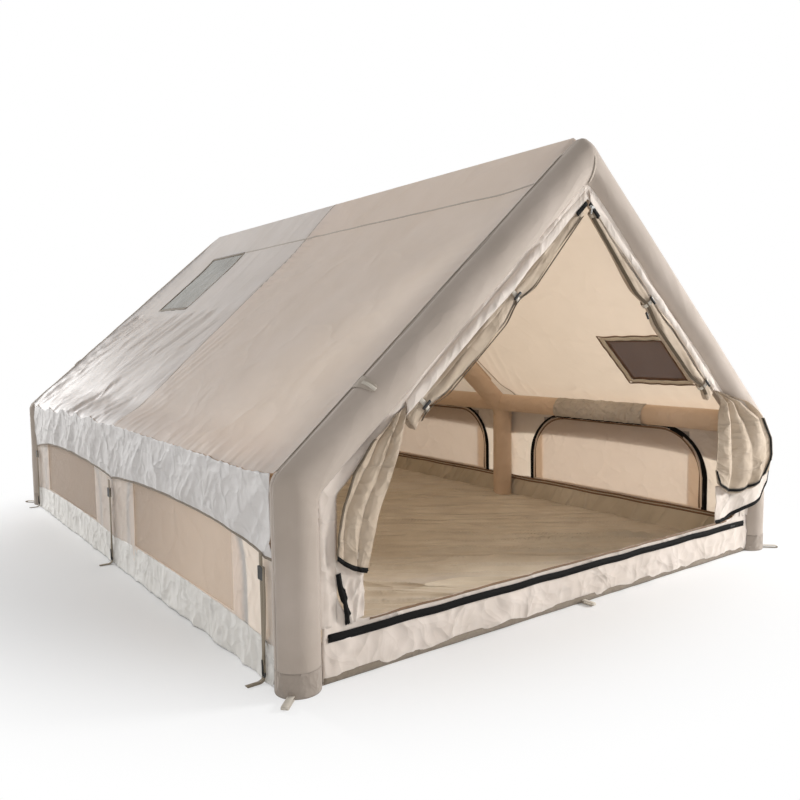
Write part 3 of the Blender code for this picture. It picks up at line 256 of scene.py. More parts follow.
def moulded(name, colour, roughness):
    """Injection-moulded plastic with a faint texture from the mould, paler where it is worn."""
    made, tree = start_material(name)
    place = add(tree, "TexCoord").outputs["Object"]
    grain = relief(tree, noise(tree, place, 1000 / 1.2, 2.0), 0.2, 0.0002)
    dark = linear(colour)
    worn = [min(1, part * 1.35 + 0.004) for part in dark]
    tone = ramp(tree, noise(tree, place, 60.0, 3.0), dark, worn, 0.35, 0.75)
    shader = add(tree, "BsdfPrincipled", [("Base Color", tone), grain], Roughness=roughness)
    return end_material(made, tree, shader)


def ribbed_tape(name, colour, shade, roughness=0.7):
    """Woven tape: ribs across it, on its UV map."""
    made, tree = start_material(name)
    ribs = bands(tree, own_uv(tree), 2.5, "X", 0.2)
    tone = ramp(tree, ribs, linear(shade), linear(colour))
    shader = add(tree, "BsdfPrincipled", [("Base Color", tone), relief(tree, ribs, 0.5, 0.0006)],
                 Roughness=roughness, Specular_IOR_Level=0.2)
    return end_material(made, tree, shader)


def netting(name, colour, cover):
    """Knitted insect mesh: see-through between its threads, which cover a share of it."""
    made, tree = start_material(name)
    flat = own_uv(tree)
    threads = join(tree, "MAXIMUM", *[bands(tree, flat, 1.6, way) for way in "XY"])
    solid = add(tree, "MapRange", [("Value", threads)], From_Min=0.2, From_Max=0.9,
                To_Min=cover * 0.6, To_Max=min(1, cover * 1.4))
    shader = add(tree, "BsdfPrincipled", [("Alpha", solid.outputs["Result"])], Roughness=0.9,
                 Base_Color=linear(colour))
    return end_material(made, tree, shader)


def clear_film(name, colour, cover):
    """Flexible window film: glossy, cloudy and a little creased."""
    made, tree = start_material(name)
    wave = noise(tree, own_uv(tree), 6.0, 2.0)
    cloud = add(tree, "MapRange", [("Value", wave)], To_Min=cover - 0.15, To_Max=cover + 0.15)
    shader = add(tree, "BsdfPrincipled", [relief(tree, wave, 0.6, 0.01),
                                          ("Alpha", cloud.outputs["Result"])],
                 Roughness=0.12, Base_Color=linear(colour))
    return end_material(made, tree, shader)


# Polyester-cotton canvas, proofed: dull and soft, and thin enough to glow warmly with the sun
# behind it. The tube sleeves are a heavier cloth.
ROOF = woven("proofed_roof_canvas", "E0D6CE", "D8CDC3", creases=0.02, crease_mm=240,
             roughness=0.62, sheen=0.3, glow=0.33, through="EBD6BD")
# The rear roof panel is a crisper coated cloth; its paler, greyer tone is painted sheen
ROOF_REAR_SHEEN = woven("coated_rear_roof_cloth_painted_sheen", "D6D2CF", "CDC8C4", creases=0.03, crease_mm=160,
                  draw=(1, 0.4), roughness=0.5, sheen=0.3, glow=0.26, through="EBD6BD")
WALL = woven("side_wall_canvas", "F4EEE7", "ECE4DC", creases=0.07, crease_mm=120, glow=0.32,
             through="F2DFC8")
# Sleeves: darker and greyer than the gable cloth, partly their own tone and partly painted shade
SLEEVE_TONE_AND_SHADE = woven("tube_sleeve_canvas_partly_painted_shade", "B8ABA0", "ADA094", creases=0.035, crease_mm=170,
               draw=(1, 0.4))
GABLE = woven("gable_canvas", "EDE3DA", "E2D7CC", creases=0.08, crease_mm=140, sheen=0.3,
              glow=0.2, through="F0DCC4")
DOOR = woven("door_canvas", "CBBAA6", "B3A08A", creases=0.16, crease_mm=90, draw=(0.5, 1),
             glow=0.1, through="E6CCA8")
REAR_DOOR = woven("rear_door_canvas", "DACDBF", "CFC1B1", creases=0.06, crease_mm=150,
                  draw=(0.5, 1), glow=0.25, through="EBD3B4")
HEM_CLOTH = woven("stiff_patch_cloth", "A99D92", "9D9186", creases=0.1, crease_mm=60)
# Thin coated polyester: paler, with crisper creases and a slight shine
GATHERED = woven("crinkled_coated_cloth", "DFDBD8", "D2CDC9", creases=0.11, crease_mm=100,
                 roughness=0.6, sheen=0.3)
# The skirt's copy of this cloth is drawn lighter: painted light, for the light it catches
SKIRT_CLOTH_LIT = woven("crinkled_skirt_cloth_painted_light", "EFECE6", "E3DFD8", creases=0.11, crease_mm=100,
                    roughness=0.6, sheen=0.3)
# Breathable lining: its warm tone is painted light, the sun glowing through the canvas
LINING_WARM_GLOW = woven("lining_cloth_painted_warm_glow", "E4D0B8", "DCC4A8", creases=0.1, crease_mm=120)
PANEL = woven("window_panel_cloth", "E9DBCF", "E2D2C5", creases=0.04, crease_mm=120, glow=0.42,
              through="F0DCC6")
TUBE = woven("inner_tube_sleeve", "DCC3AA", "D0B69B", creases=0.06, crease_mm=90)
FLOOR_CLOTH = woven("coated_floor_cloth", "D9CDB9", "CABDA8", creases=0.24, crease_mm=170,
                    draw=(0.22, 1), turn=-37, roughness=0.42)
POCKET = woven("grey_pocket_cloth", "C4B9AB", "ADA193", creases=0.25, crease_mm=45)
HEM, BROWN_TRIM, SEAM, CREAM, BORDER = [
    woven(name, colour, shade, creases=0.05, crease_mm=30) for name, colour, shade in (
        ("brown_hem_binding", "8E8273", "7F7364"), ("brown_edge_piping", "8B6F55", "7B6049"),
        ("folded_seam_cloth", "B6AA9D", "A99D90"), ("cream_edge_strip", "E2D6C0", "D6C8B0"),
        ("khaki_border_tape", "6E6150", "5F5445"))]
BLADDER = moulded("air_bladder_film", "D5D8D4", 0.35)
SILVER = moulded("zinc_zip_slider", "A9AAA8", 0.35)
BLACK = moulded("black_nylon", "1B1A19", 0.45)
VALVE = moulded("grey_valve_nylon", "55534F", 0.5)
ZIP = ribbed_tape("black_zip_tape", "171614", "0B0A0A", roughness=0.9)
WEBBING = ribbed_tape("khaki_webbing", "9B8F7D", "7D7262")
PALE_WEBBING = ribbed_tape("pale_webbing", "D8D0C4", "BDB4A6")
NET = netting("grey_insect_mesh", "B9AEA3", 0.32)
BROWN_NET = netting("brown_insect_mesh", "705442", 0.93)
FILM = clear_film("cloudy_window_film", "8F8F84", 0.72)


# Ways to make a piece


def finish_piece(name, mesh, materials, smooth=True):
    for item in materials:
        mesh.materials.append(item)
    if smooth:
        mesh.shade_smooth()
    made = bpy.data.objects.new(name, mesh)
    bpy.context.scene.collection.objects.link(made)
    return made


def cloth(name, columns, rows, shape, materials, nodes=(), flat=None, held="stretched",
          rests_on=(), area=None, body="tent", holes=(), thick=0, facing=None, away=None,
          wrap=False):
    """A sheet on a grid. shape turns arrays u, v, in metres on the flat cloth, into x, y, z.

    It rides on body in place of its CAD nodes. flat, its cut, is not used.
    holes are (u low, u high, v low, v high) on grid lines. Its front looks in the
    direction facing, or away from the point away.
    """
    across, along = len(columns) - 1, len(rows) - 1
    grid = bmesh.new()
    bmesh.ops.create_grid(grid, x_segments=across, y_segments=along, size=0.5)
    u = {v: columns[round((v.co.x + 0.5) * across)] for v in grid.verts}
    w = {v: rows[round((v.co.y + 0.5) * along)] for v in grid.verts}
    gone = []
    for left, right, low, high in holes:
        for face in grid.faces:
            middle_u = sum(u[v] for v in face.verts) / 4
            middle_w = sum(w[v] for v in face.verts) / 4
            if left < middle_u < right and low < middle_w < high:
                gone.append(face)
    layer = grid.loops.layers.uv.new("cloth")
    for face in grid.faces:
        for loop in face.loops:
            loop[layer].uv = (u[loop.vert], w[loop.vert])
    places = shape(np.array([u[v] for v in grid.verts]), np.array([w[v] for v in grid.verts]))
    for vert, point in zip(grid.verts, path(*places).tolist()):
        vert.co = point
    if gone:
        bmesh.ops.delete(grid, geom=gone, context="FACES")
    if wrap:
        bmesh.ops.remove_doubles(grid, verts=grid.verts, dist=0.00005)
    grid.normal_update()
    if facing is not None or away is not None:
        total = 0
        for face in grid.faces:
            look = Vector(facing) if away is None else face.calc_center_median() - Vector(away)
            total += face.normal.dot(look) * face.calc_area()
        if total < 0:
            bmesh.ops.reverse_faces(grid, faces=grid.faces)
    mesh = bpy.data.meshes.new(name)
    grid.to_mesh(mesh)
    grid.free()
    made = finish_piece(name, mesh, materials)
    if thick:
        wall = made.modifiers.new("cloth_wall", "SOLIDIFY")
        wall.thickness = thick
        wall.offset = -1
        wall.use_even_offset = False
        if len(materials) > 1:
            wall.material_offset = 1
    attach(made, body)
    if nodes:
        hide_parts(*nodes)
    return made


def unit(rows):
    return rows / (np.linalg.norm(rows, axis=1)[:, None] + 1e-12)


def tape(name, points, across, width, look, thick=THICK, facing=None, away=None, coil=0.0,
         **settings):
    """A strip of webbing, binding or zip tape along points; across is its width's direction."""
    points = np.asarray(points, float)
    across = np.array(np.broadcast_to(np.asarray(across, float), points.shape))
    across /= np.linalg.norm(across, axis=1)[:, None]
    gone = np.concatenate([[0], np.cumsum(np.linalg.norm(np.diff(points, axis=0), axis=1))])
    up = unit(np.cross(np.gradient(points, axis=0), across))
    looks = points - np.asarray(away, float) if facing is None else np.asarray(facing, float)
    if (up * looks).sum() < 0:
        up = -up

    def shape(u, v):
        crown = coil * np.sqrt(np.clip(1 - (v / 0.0031) ** 2, 0, 1))
        return [np.interp(u, gone, points[:, k]) + v * np.interp(u, gone, across[:, k])
                + crown * np.interp(u, gone, up[:, k]) for k in range(3)]

    # A zip's coil is a raised ridge down the middle of its tape
    ridge = np.array([-0.0031, -0.0029, -0.0018, 0, 0.0018, 0.0029, 0.0031])
    rows = np.concatenate([[-width / 2], ridge if coil else [0], [width / 2]])
    return cloth(name, gone, rows, shape, [look], flat=(float(gone[-1]), width), thick=thick,
                 facing=facing, away=away, **settings)


def tape_on(name, shape, us, vs, width, look, facing, lift=0.002, **settings):
    """A strip of tape sewn to a cloth, along a line given in that cloth's own measures."""
    us, vs = np.broadcast_arrays(np.asarray(us, float), np.asarray(vs, float))
    du, dv = np.gradient(us), np.gradient(vs)
    size = np.hypot(du, dv) / 0.004
    side_u, side_v = -dv / size, du / size
    low = path(*shape(us - side_u, vs - side_v))
    high = path(*shape(us + side_u, vs + side_v))
    points = (low + high) / 2
    across = high - low
    up = unit(np.cross(np.gradient(points, axis=0), across))
    if (up @ np.asarray(facing, float)).sum() < 0:
        up = -up
    return tape(name, points + lift * up, across, width, look, facing=facing, **settings)


def zip_on(name, shape, us, vs, facing, width, lift=0.0018, **settings):
    """A zip sewn to a cloth: its tape, with the raised coil down its middle."""
    return tape_on(name, shape, us, vs, width, ZIP, facing, lift, coil=COIL, **settings)


def corner_path(corners, where, reach):
    """Points along a bent line, rounded within reach of each corner.

    corners is a list of (x, z) pairs, which may be arrays, and where holds distances along
    the first line, as whole corner numbers plus a share of the run to the next.
    """
    count = len(corners) - 1
    run = np.clip(np.floor(where).astype(int), 0, count - 1)
    # Axes of spots: corner number, x or z, place along the line
    spots = np.array([[np.broadcast_to(part, len(where)) for part in pair] for pair in corners])
    each = np.arange(len(where))
    start, end = spots[run, :, each].T, spots[run + 1, :, each].T
    points = start + (end - start) * (where - run)
    for bend in range(1, count):
        last, here, following = spots[bend - 1:bend + 2]
        before = np.hypot(*(here - last))
        after = np.hypot(*(following - here))
        gone = np.where(where < bend, (where - bend) * before, (where - bend) * after)
        q = (np.clip(gone, -reach, reach) + reach) / (2 * reach)
        first = here - (here - last) * reach / before
        second = here + (following - here) * reach / after
        curve = (1 - q) ** 2 * first + 2 * q * (1 - q) * here + q * q * second
        points = np.where(np.abs(gone) < reach, curve, points)
    return points


def roof_z(across, inset):
    return RIDGE - inset / COS - np.abs(across) * TAN


def arch_corners(wall_inset, roof_inset, foot=0.0):
    """Corners of the arch line moved in by the insets, from the left foot to the right."""
    side = HALF_WIDTH - wall_inset
    return [(-side, foot), (-side, roof_z(side, roof_inset)), (0 * side, roof_z(0, roof_inset)),
            (side, roof_z(side, roof_inset)), (side, foot)]


def run_marks(corners, size):
    """Corner numbers plus shares, about size apart along a bent line, and their distances."""
    marks, lengths, total = [], [], 0.0
    for i, (low, high) in enumerate(zip(corners, corners[1:])):
        length = math.dist(low, high)
        parts = max(2, round(length / size))
        for k in range(parts):
            marks.append(i + k / parts)
            lengths.append(total + length * k / parts)
        total += length
    return np.array(marks + [len(corners) - 1]), np.array(lengths + [total])


# Roof


LEFT_LIGHT = (0.915, 1.465, -0.9007, -0.3207)
RIGHT_LIGHT = (-1.665, -1.295, 1.2773, 1.6223)
ROOF_REACH = ROOF_X / COS
ROOF_END = GABLE_Y - 0.012


def roof_inset(y, s):
    """How far the cloth lies under the tubes' outer line.

    It is tight over the ridge and the eaves, sags between them, and climbs the gable tubes.
    """
    y, s = np.abs(y), np.abs(s)
    slack = 0.033 - 0.036 * (1 - ease(s, 0, 0.50))
    rim = 0.0216 - 0.018 * np.cos(np.pi * y / 3.9) ** 2
    slack = slack + (rim - slack) * ease(s, 1.72, ROOF_REACH)
    start, meet = 1.62, GABLE_Y - 0.040
    tube = GABLE_RADIUS - math.sqrt(GABLE_RADIUS ** 2 - (GABLE_Y - meet) ** 2)
    climb = slack + np.minimum(0, tube - slack) * np.clip((y - start) / (meet - start), 0, 1) ** 2
    over = GABLE_RADIUS - np.sqrt(np.maximum(0, GABLE_RADIUS ** 2 - (GABLE_Y - y) ** 2))
    # At the ridge's ends it is turned down on to the rounded top of the tube
    lip = 0.018 * ease(y, 1.884, GABLE_Y - 0.012) * (1 - ease(s, 0.05, 0.16))
    return np.where(y > meet, np.minimum(over, slack), climb) - 0.0025 + lip


def eave_gathers(y):
    """Gathers where the roof is sewn to the valance: the same on both sides of that seam."""
    return 0.0035 * (ridges(y * 26, 0, 51, 2) - 0.4) + 0.003 * (ridges(y * 9, 0, 52, 2) - 0.4)


def middle_seam(s):
    """Where the seam over the middle arch runs, a little askew."""
    return 0.06 * (1 - np.abs(s))


def roof_folds(y, s):
    """Wrinkles of the roof, outward in metres; s is the distance down from the ridge."""
    down = np.abs(s)
    out = 0.003 * rumple(y * 1.6, s * 1.1, 3) + 0.0012 * rumple(y * 7 + s * 2.0, s * 1.3, 5)
    # Rear bay: pulled into folds that start below the skylight and lean to the rear
    rear = (s < 0) * ease(y, -0.10, 0.30)
    lean = y - 0.55 * down
    under = ease(down, 0.93, 1.0) * (1 - 0.75 * ease(down, 1.15, 1.55))
    out += rear * 0.015 * (ridges(lean * 19, down * 0.7, 21, 2) - 0.35) * under
    out -= rear * 0.007 * ridges(lean * 13, down * 0.5, 23, 5) * under
    low = ease(down, 1.20, 1.50)
    out += rear * 0.022 * (ridges(lean * 8, down * 1.1, 31, 2) - 0.35) * low
    out += 0.008 * (crease(y * 6, down * 4, 33) - 0.4) * ease(down, 1.62, 1.86) * (
        0.25 + 0.75 * rear)
    # Front bay: short wrinkles off the middle seam, and slack folds beside its foot
    seam = y - middle_seam(s)
    beside = hump(seam, -0.07, 0.07) * (seam < 0)
    out += 0.005 * beside * np.sin(s * 130 + 3 * rumple(s * 4, y * 4, 43)) * ease(
        down, 0.15, 0.3) * (1 - ease(down, 0.75, 0.9))
    foot = hump(seam, -0.16, 0.16)
    out += 0.009 * foot * (ridges((y - 0.30 * down) * 12, down * 0.9, 45, 2) - 0.35) * ease(
        down, 0.95, 1.4)
    # Light tension lines towards the gable sleeves
    edge = hump(np.abs(y), 1.86, 0.12)
    out += 0.0016 * edge * np.sin(s * 75 + 5 * rumple(s * 3, 0, 47))
    out += eave_gathers(y) * ease(down, 1.78, 1.95) * (1 - ease(np.abs(y), 1.82, 1.9))
    # Wrinkles that radiate from the small skylight
    y0, y1, s0, s1 = RIGHT_LIGHT
    ahead, below = y - (y0 + y1) / 2, s - (s0 + s1) / 2
    far, turn = np.hypot(ahead, below), np.arctan2(below, ahead)
    out += 0.002 * np.sin(turn * 14 + 2 * rumple(turn * 2, far * 3, 61)) * hump(far, 0.30, 0.12)
    out -= 0.003 * hump(seam, 0, 0.012)
    return out * (1 - 0.8 * ease(np.abs(y), 1.80, 1.9)) * ease(down, 0.0, 0.15)


def roof_at(drop):
    """The roof's surface, moved in by drop: places for y and the distance down the slope."""
    def shape(y, s):
        inset = roof_inset(y, s) + drop - roof_folds(y, s)
        return s * COS, y, RIDGE - inset / COS - np.hypot(s, 0.010) * SIN
    return shape


def make_roof():
    size = 0.0125
    roof = cloth("roof", steps(-ROOF_END, ROOF_END, size, [*LEFT_LIGHT[:2], *RIGHT_LIGHT[:2], 0]),
                 steps(-ROOF_REACH, ROOF_REACH, size, [*LEFT_LIGHT[2:], *RIGHT_LIGHT[2:], 0]),
                 roof_at(0), [ROOF, ROOF_REAR_SHEEN], ["roof_canopy"], rests_on=["front_sleeve"],
                 holes=[LEFT_LIGHT, RIGHT_LIGHT], away=MIDDLE)
    # Faces behind the middle seam take the rear cloth, whose paler tone is painted sheen
    for face in roof.data.polygons:
        if face.center.y > middle_seam(face.center.x / COS):
            face.material_index = 1
    t = steps(-1, 1, 0.008)
    for name, ys, ss in (("middle", middle_seam(t * ROOF_REACH), t * ROOF_REACH),
                         ("front", 0.006 - ROOF_END, t * ROOF_REACH),
                         ("rear", ROOF_END - 0.006, t * ROOF_REACH),
                         ("panel", -0.4825 + t * 1.3975, LEFT_LIGHT[3])):
        tape_on("roof_seam_" + name, roof_at(0), ys, ss, 0.010, SEAM, (0, 0, 1), lift=0.0012)
    for name, light in (("left", LEFT_LIGHT), ("right", RIGHT_LIGHT)):
        y0, y1, s0, s1 = light
        for kind, node, drop, look in (("pane", "film", 0.0012, FILM),
                                       ("net", "mesh", 0.0042, BROWN_NET)):
            cloth("skylight_%s_%s" % (kind, name), steps(y0, y1, 0.02), steps(s0, s1, 0.02),
                  roof_at(drop), [look], ["skylight_%s_%s" % (node, name)], rests_on=["roof"],
                  away=MIDDLE)
        # Each layer: which way it looks, how far outside the pane, width, look and lift
        for layer, (face, reach, width, look, lift) in enumerate((
                (1, 0.0, 0.016, HEM, 0.0014), (-1, 0.0, 0.030, BORDER, 0.0014),
                (-1, -0.020, 0.034, CREAM, 0.0060), (-1, -0.038, 0.010, BROWN_TRIM, 0.0076))):
            for edge, (ya, yb, sa, sb) in enumerate(((y0, y1, s0, s0), (y0, y1, s1, s1),
                                                     (y0, y0, s0, s1), (y1, y1, s0, s1))):
                ya, yb = [y + math.copysign(reach, y - (y0 + y1) / 2) for y in (ya, yb)]
                sa, sb = [s + math.copysign(reach, s - (s0 + s1) / 2) for s in (sa, sb)]
                tape_on("skylight_edge_%s_%d_%d" % (name, layer, edge), roof_at(0),
                        np.linspace(ya, yb, 25), np.linspace(sa, sb, 25), width, look,
                        (0, 0, face), lift=lift)


# Air tubes in their sleeves


def tube_on_arch(name, wall_inset, slope_inset, y, radius, foot, look, nodes, wrinkle,
                 inside=()):
    size, around = ((0.017, 56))
    marks, lengths = run_marks(arch_corners(wall_inset, slope_inset, foot), size)

    def shape(u, gone):
        turn = u / radius
        r = radius + wrinkle(turn, gone, lengths[-1])
        inward = r * np.cos(turn)
        corners = arch_corners(wall_inset - inward, slope_inset - inward, foot)
        x, z = corner_path(corners, np.interp(gone, lengths, marks), 0.035)
        return x, y + r * np.sin(turn), z

    cloth(name, np.linspace(0, math.tau * radius, around + 1), lengths, shape, [look], nodes,
          rests_on=inside, thick=DOUBLE, away=MIDDLE, wrap=True)


def gable_wrinkles(turn, gone, total):
    """Slack and puckers of a gable sleeve: most at its bends, few on its tight runs."""
    bend = hump(np.minimum(gone, total - gone), 0.69, 0.10)
    inner = (1 - np.cos(turn)) / 2
    out = 0.0012 * rumple(turn * 2, gone * 7, 71)
    out += 0.0035 * bend * np.sin(gone * 170 + 2 * np.sin(turn * 2)) * (0.3 + 0.7 * inner)
    out += 0.002 * hump(gone, total / 2, 0.07) * rumple(turn * 3, gone * 30, 73)
    return out - 0.002 * (hump(turn, 2.3, 0.05) + hump(turn, math.tau - 2.3, 0.05))


def middle_wrinkles(turn, gone, total):
    bend = hump(np.minimum(gone, total - gone), 0.68, 0.07)
    return 0.0008 * rumple(turn * 2, gone * 6, 75) + 0.003 * bend * np.sin(gone * 160)


def smooth_skin(turn, gone, total):
    return 0 * turn


def make_sleeves():
    for name, end in ENDS:
        tube_on_arch(name + "_bladder", GABLE_RADIUS, GABLE_RADIUS, end * GABLE_Y,
                     GABLE_RADIUS - 0.006, 0.004, BLADDER, [name + "_arch_bladder"], smooth_skin)
        tube_on_arch(name + "_sleeve", GABLE_RADIUS, GABLE_RADIUS, end * GABLE_Y, GABLE_RADIUS,
                     0.0, SLEEVE_TONE_AND_SHADE, [name + "_arch_sleeve"], gable_wrinkles, [name + "_bladder"])
    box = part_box("middle_arch_sleeve")
    radius = box[1][1] - 0.002
    wall = HALF_WIDTH - box[1][0] + radius + 0.002
    slope = (RIDGE - box[1][2]) * COS + radius + 0.002
    tube_on_arch("middle_bladder", wall, slope, 0, radius - 0.005, 0.008, BLADDER,
                 ["middle_arch_bladder"], smooth_skin)
    tube_on_arch("middle_sleeve", wall, slope, 0, radius, box[0][2], TUBE,
                 ["middle_arch_sleeve"], middle_wrinkles, ["middle_bladder"])
    drop = 0.05

    def strip(s, v):
        top = roof_at(0.001)(0 * s, s)[2]
        tube = roof_z(s * COS, slope - radius + 0.003)
        return s * COS, 0.002 * rumple(s * 9, v * 20, 77), top + (tube - top) * v / drop

    # It joins the roof to the top of the middle arch
    cloth("rafter_strip", steps(-1.70, 1.70, 0.02), steps(0, drop, 0.0125), strip, [TUBE],
          rests_on=["middle_sleeve"], area=0.10, facing=TO_FRONT)


def make_eave_tubes():
    for bay in [side + "_" + end for side, _ in SIDES for end, _ in ENDS]:
        low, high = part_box("eave_tube_" + bay)
        inner_low, inner_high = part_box("eave_bladder_" + bay)
        x, z = (high[0] + low[0]) / 2, (high[2] + low[2]) / 2
        for name, node, radius, start, end, look in (
                ("eave_air_", "eave_bladder_", 0.056, inner_low[1], inner_high[1], BLADDER),
                ("eave_sleeve_", "eave_tube_", (high[0] - low[0]) / 2 - 0.001, low[1] + 0.012,
                 high[1] - 0.012, TUBE)):

            def shape(u, y):
                turn = u / radius
                r = radius + 0.0008 * rumple(turn * 2, y * 6, 81)
                r = r + 0.0012 * hump(np.abs(y), 0.11, 0.05) * np.sin(turn * 9)
                return x + r * np.cos(turn), y, z + r * np.sin(turn)

            cloth(name + bay, np.linspace(0, math.tau * radius, 41), steps(start, end, 0.02),
                  shape, [look], [node + bay], rests_on=["middle_sleeve"], thick=DOUBLE,
                  away=MIDDLE, wrap=True)


# Gables


GABLE_STRIP = 0.078
STRIP_EDGE = 0.137
DOOR_CORNER = 0.12
SILL_ZIP = 0.160
LEAF_HEIGHT = 1.57


def gable_strip(end):
    """The gable's cloth between the arch and the doorway: along the arch, and inward from it."""
    marks, lengths = run_marks(arch_corners(0.178, 0.168, DOOR_SILL), 0.012)

    def shape(u, v):
        share = v / GABLE_STRIP
        corners = arch_corners(STRIP_EDGE + share * (HALF_WIDTH - DOOR_SIDE - STRIP_EDGE),
                               STRIP_EDGE + share * (DOOR_INSET - STRIP_EDGE), DOOR_SILL)
        x, z = corner_path(corners, np.interp(u, lengths, marks), 0.02)
        out = 0.011 * ridges(v * 30 + u * 2.5, u * 1.3, 91, 2) + 0.004 * crease(u * 4, v * 20, 92)
        out = out + 0.0015 * rumple(u * 9, v * 25, 93)
        return x, end * (GABLE_FACE + out * np.minimum(1, 8 * share)), z
    return shape, lengths


def gable_sill(end):
    """The sill's cloth: across the tent, and up to the doorway's lower edge."""
    def shape(x, v):
        beyond = np.clip(np.abs(x) - (DOOR_SIDE - DOOR_CORNER), 0, DOOR_CORNER)
        top = DOOR_SILL + DOOR_CORNER - np.sqrt(DOOR_CORNER ** 2 - beyond ** 2)
        z = v * top / DOOR_SILL
        lean = x - 0.9 * z
        out = 0.010 * ridges(lean * 7, z * 6 + x * 0.5, 95, 2) + 0.007 * crease(x * 7, z * 12, 96)
        out = out + 0.002 * rumple(x * 15, z * 15, 94)
        # Flat where the zip is sewn on
        seat = 1 - 0.97 * np.exp(-((v - SILL_ZIP) / 0.034) ** 4)
        return x, end * (GABLE_FACE - 0.001 + out * ease(z, 0, 0.05) * seat), z
    return shape


def leaf_at(side):
    """One zipped rear leaf: across from the middle zip, and up."""
    def shape(u, v):
        beyond = np.clip(u - (DOOR_SIDE - DOOR_CORNER), 0, 0.1179)
        low = DOOR_SILL + 0.002 + 0.118 - np.sqrt(0.118 ** 2 - beyond ** 2)
        top = roof_z(u, DOOR_INSET + 0.0003)
        z = low + (top - low) * v / LEAF_HEIGHT
        inner = np.minimum(1, (z - low) / 0.1) * np.minimum(1, (top - z) / 0.1)
        out = rumple(u * 5 + z * 2, z * 1.5, 97) + 0.5 * crease(u * 6 + z, z * 4, 98)
        return side * u, GABLE_FACE + 0.004 * out * np.clip(inner, 0, 1), z
    return shape


def make_gables():
    for name, end in ENDS:
        shape, lengths = gable_strip(end)
        # Inside faces take the lining, whose warm tone is painted glow
        cloth(name + "_gable", lengths, np.linspace(0, GABLE_STRIP, 9), shape, [GABLE, LINING_WARM_GLOW],
              [name + "_gable_wall"], rests_on=[name + "_sleeve"], thick=DOUBLE,
              facing=(0, end, 0))
        cloth(name + "_sill", steps(-1.343, 1.343, 0.014), steps(0, DOOR_SILL, 0.014),
              gable_sill(end), [GABLE, LINING_WARM_GLOW], flat=(2.686, 0.21), rests_on=[name + "_gable"],
              thick=DOUBLE, facing=(0, end, 0))
    t = np.linspace(-1, 1, 160)
    line = path(t * 1.32, -GABLE_FACE - 0.0045 - 0.0012 * np.sin(t * 37),
                SILL_ZIP + 0.0015 * np.sin(t * 23))
    tape("sill_zip", line, (0, 0, 1), 0.030, ZIP, facing=TO_FRONT, nodes=["front_sill_zip"],
         coil=COIL)
    tape_on("sill_edge", gable_sill(-1), t * 1.15, 0.196, 0.010, BROWN_TRIM, TO_FRONT)
    for name, end in ENDS:
        foot = path(t * 1.34, end * (GABLE_FACE + 0.0025 + 0.002 * rumple(t * 20, 0, 99)), 0.0165)
        tape("sill_foot_" + name, foot, (0, 0, 1), 0.028, HEM, facing=(0, end, 0))
    for name, side in SIDES:
        body = "rear_leaf_" + name
        cloth(body, steps(0.001, 1.277, 0.02), steps(0, LEAF_HEIGHT, 0.025), leaf_at(side),
              [REAR_DOOR], ["rear_door_" + name], (1.28, LEAF_HEIGHT), "hung", ["rear_gable"],
              1.30, body, facing=TO_REAR)
        tape_on("rear_zip_%s_tape" % name, leaf_at(side), 0.0065, np.linspace(0.01, 1.56, 80),
                0.011, ZIP, TO_REAR, body=body)
    tape_on("rear_sill_zip", gable_sill(1), t * 1.22, 0.192, 0.016, ZIP, TO_REAR)


# Front door leaves: rolled up along their slopes, with loose tails


TIE_PLACES = (0.44, 0.93)
ROLL_LENGTH = 1.2547
ROLL_SHEET = 0.41
ROLL_RADIUS = 0.045
ROLL_MIDDLE = 0.047
FLAP_WIDTH = 0.10


def roll_size(share):
    """How full a roll is along its length: narrow at its top and in its ties."""
    size = 0.45 + 0.55 * np.minimum(1, share / 0.40)
    for tie in TIE_PLACES:
        size = size * (1 - 0.28 * ease(1 - np.abs(share - tie) / 0.10, 0, 1))
    return size


def roll_frame(side, gone, reach):
    """Middle of a roll's cross-section, gone down the slope, and reach in from the doorway."""
    x = side * (0.045 + gone * COS) - side * reach * SIN
    z = roof_z(0.045, DOOR_INSET) - gone * SIN - reach * COS
    return x, z


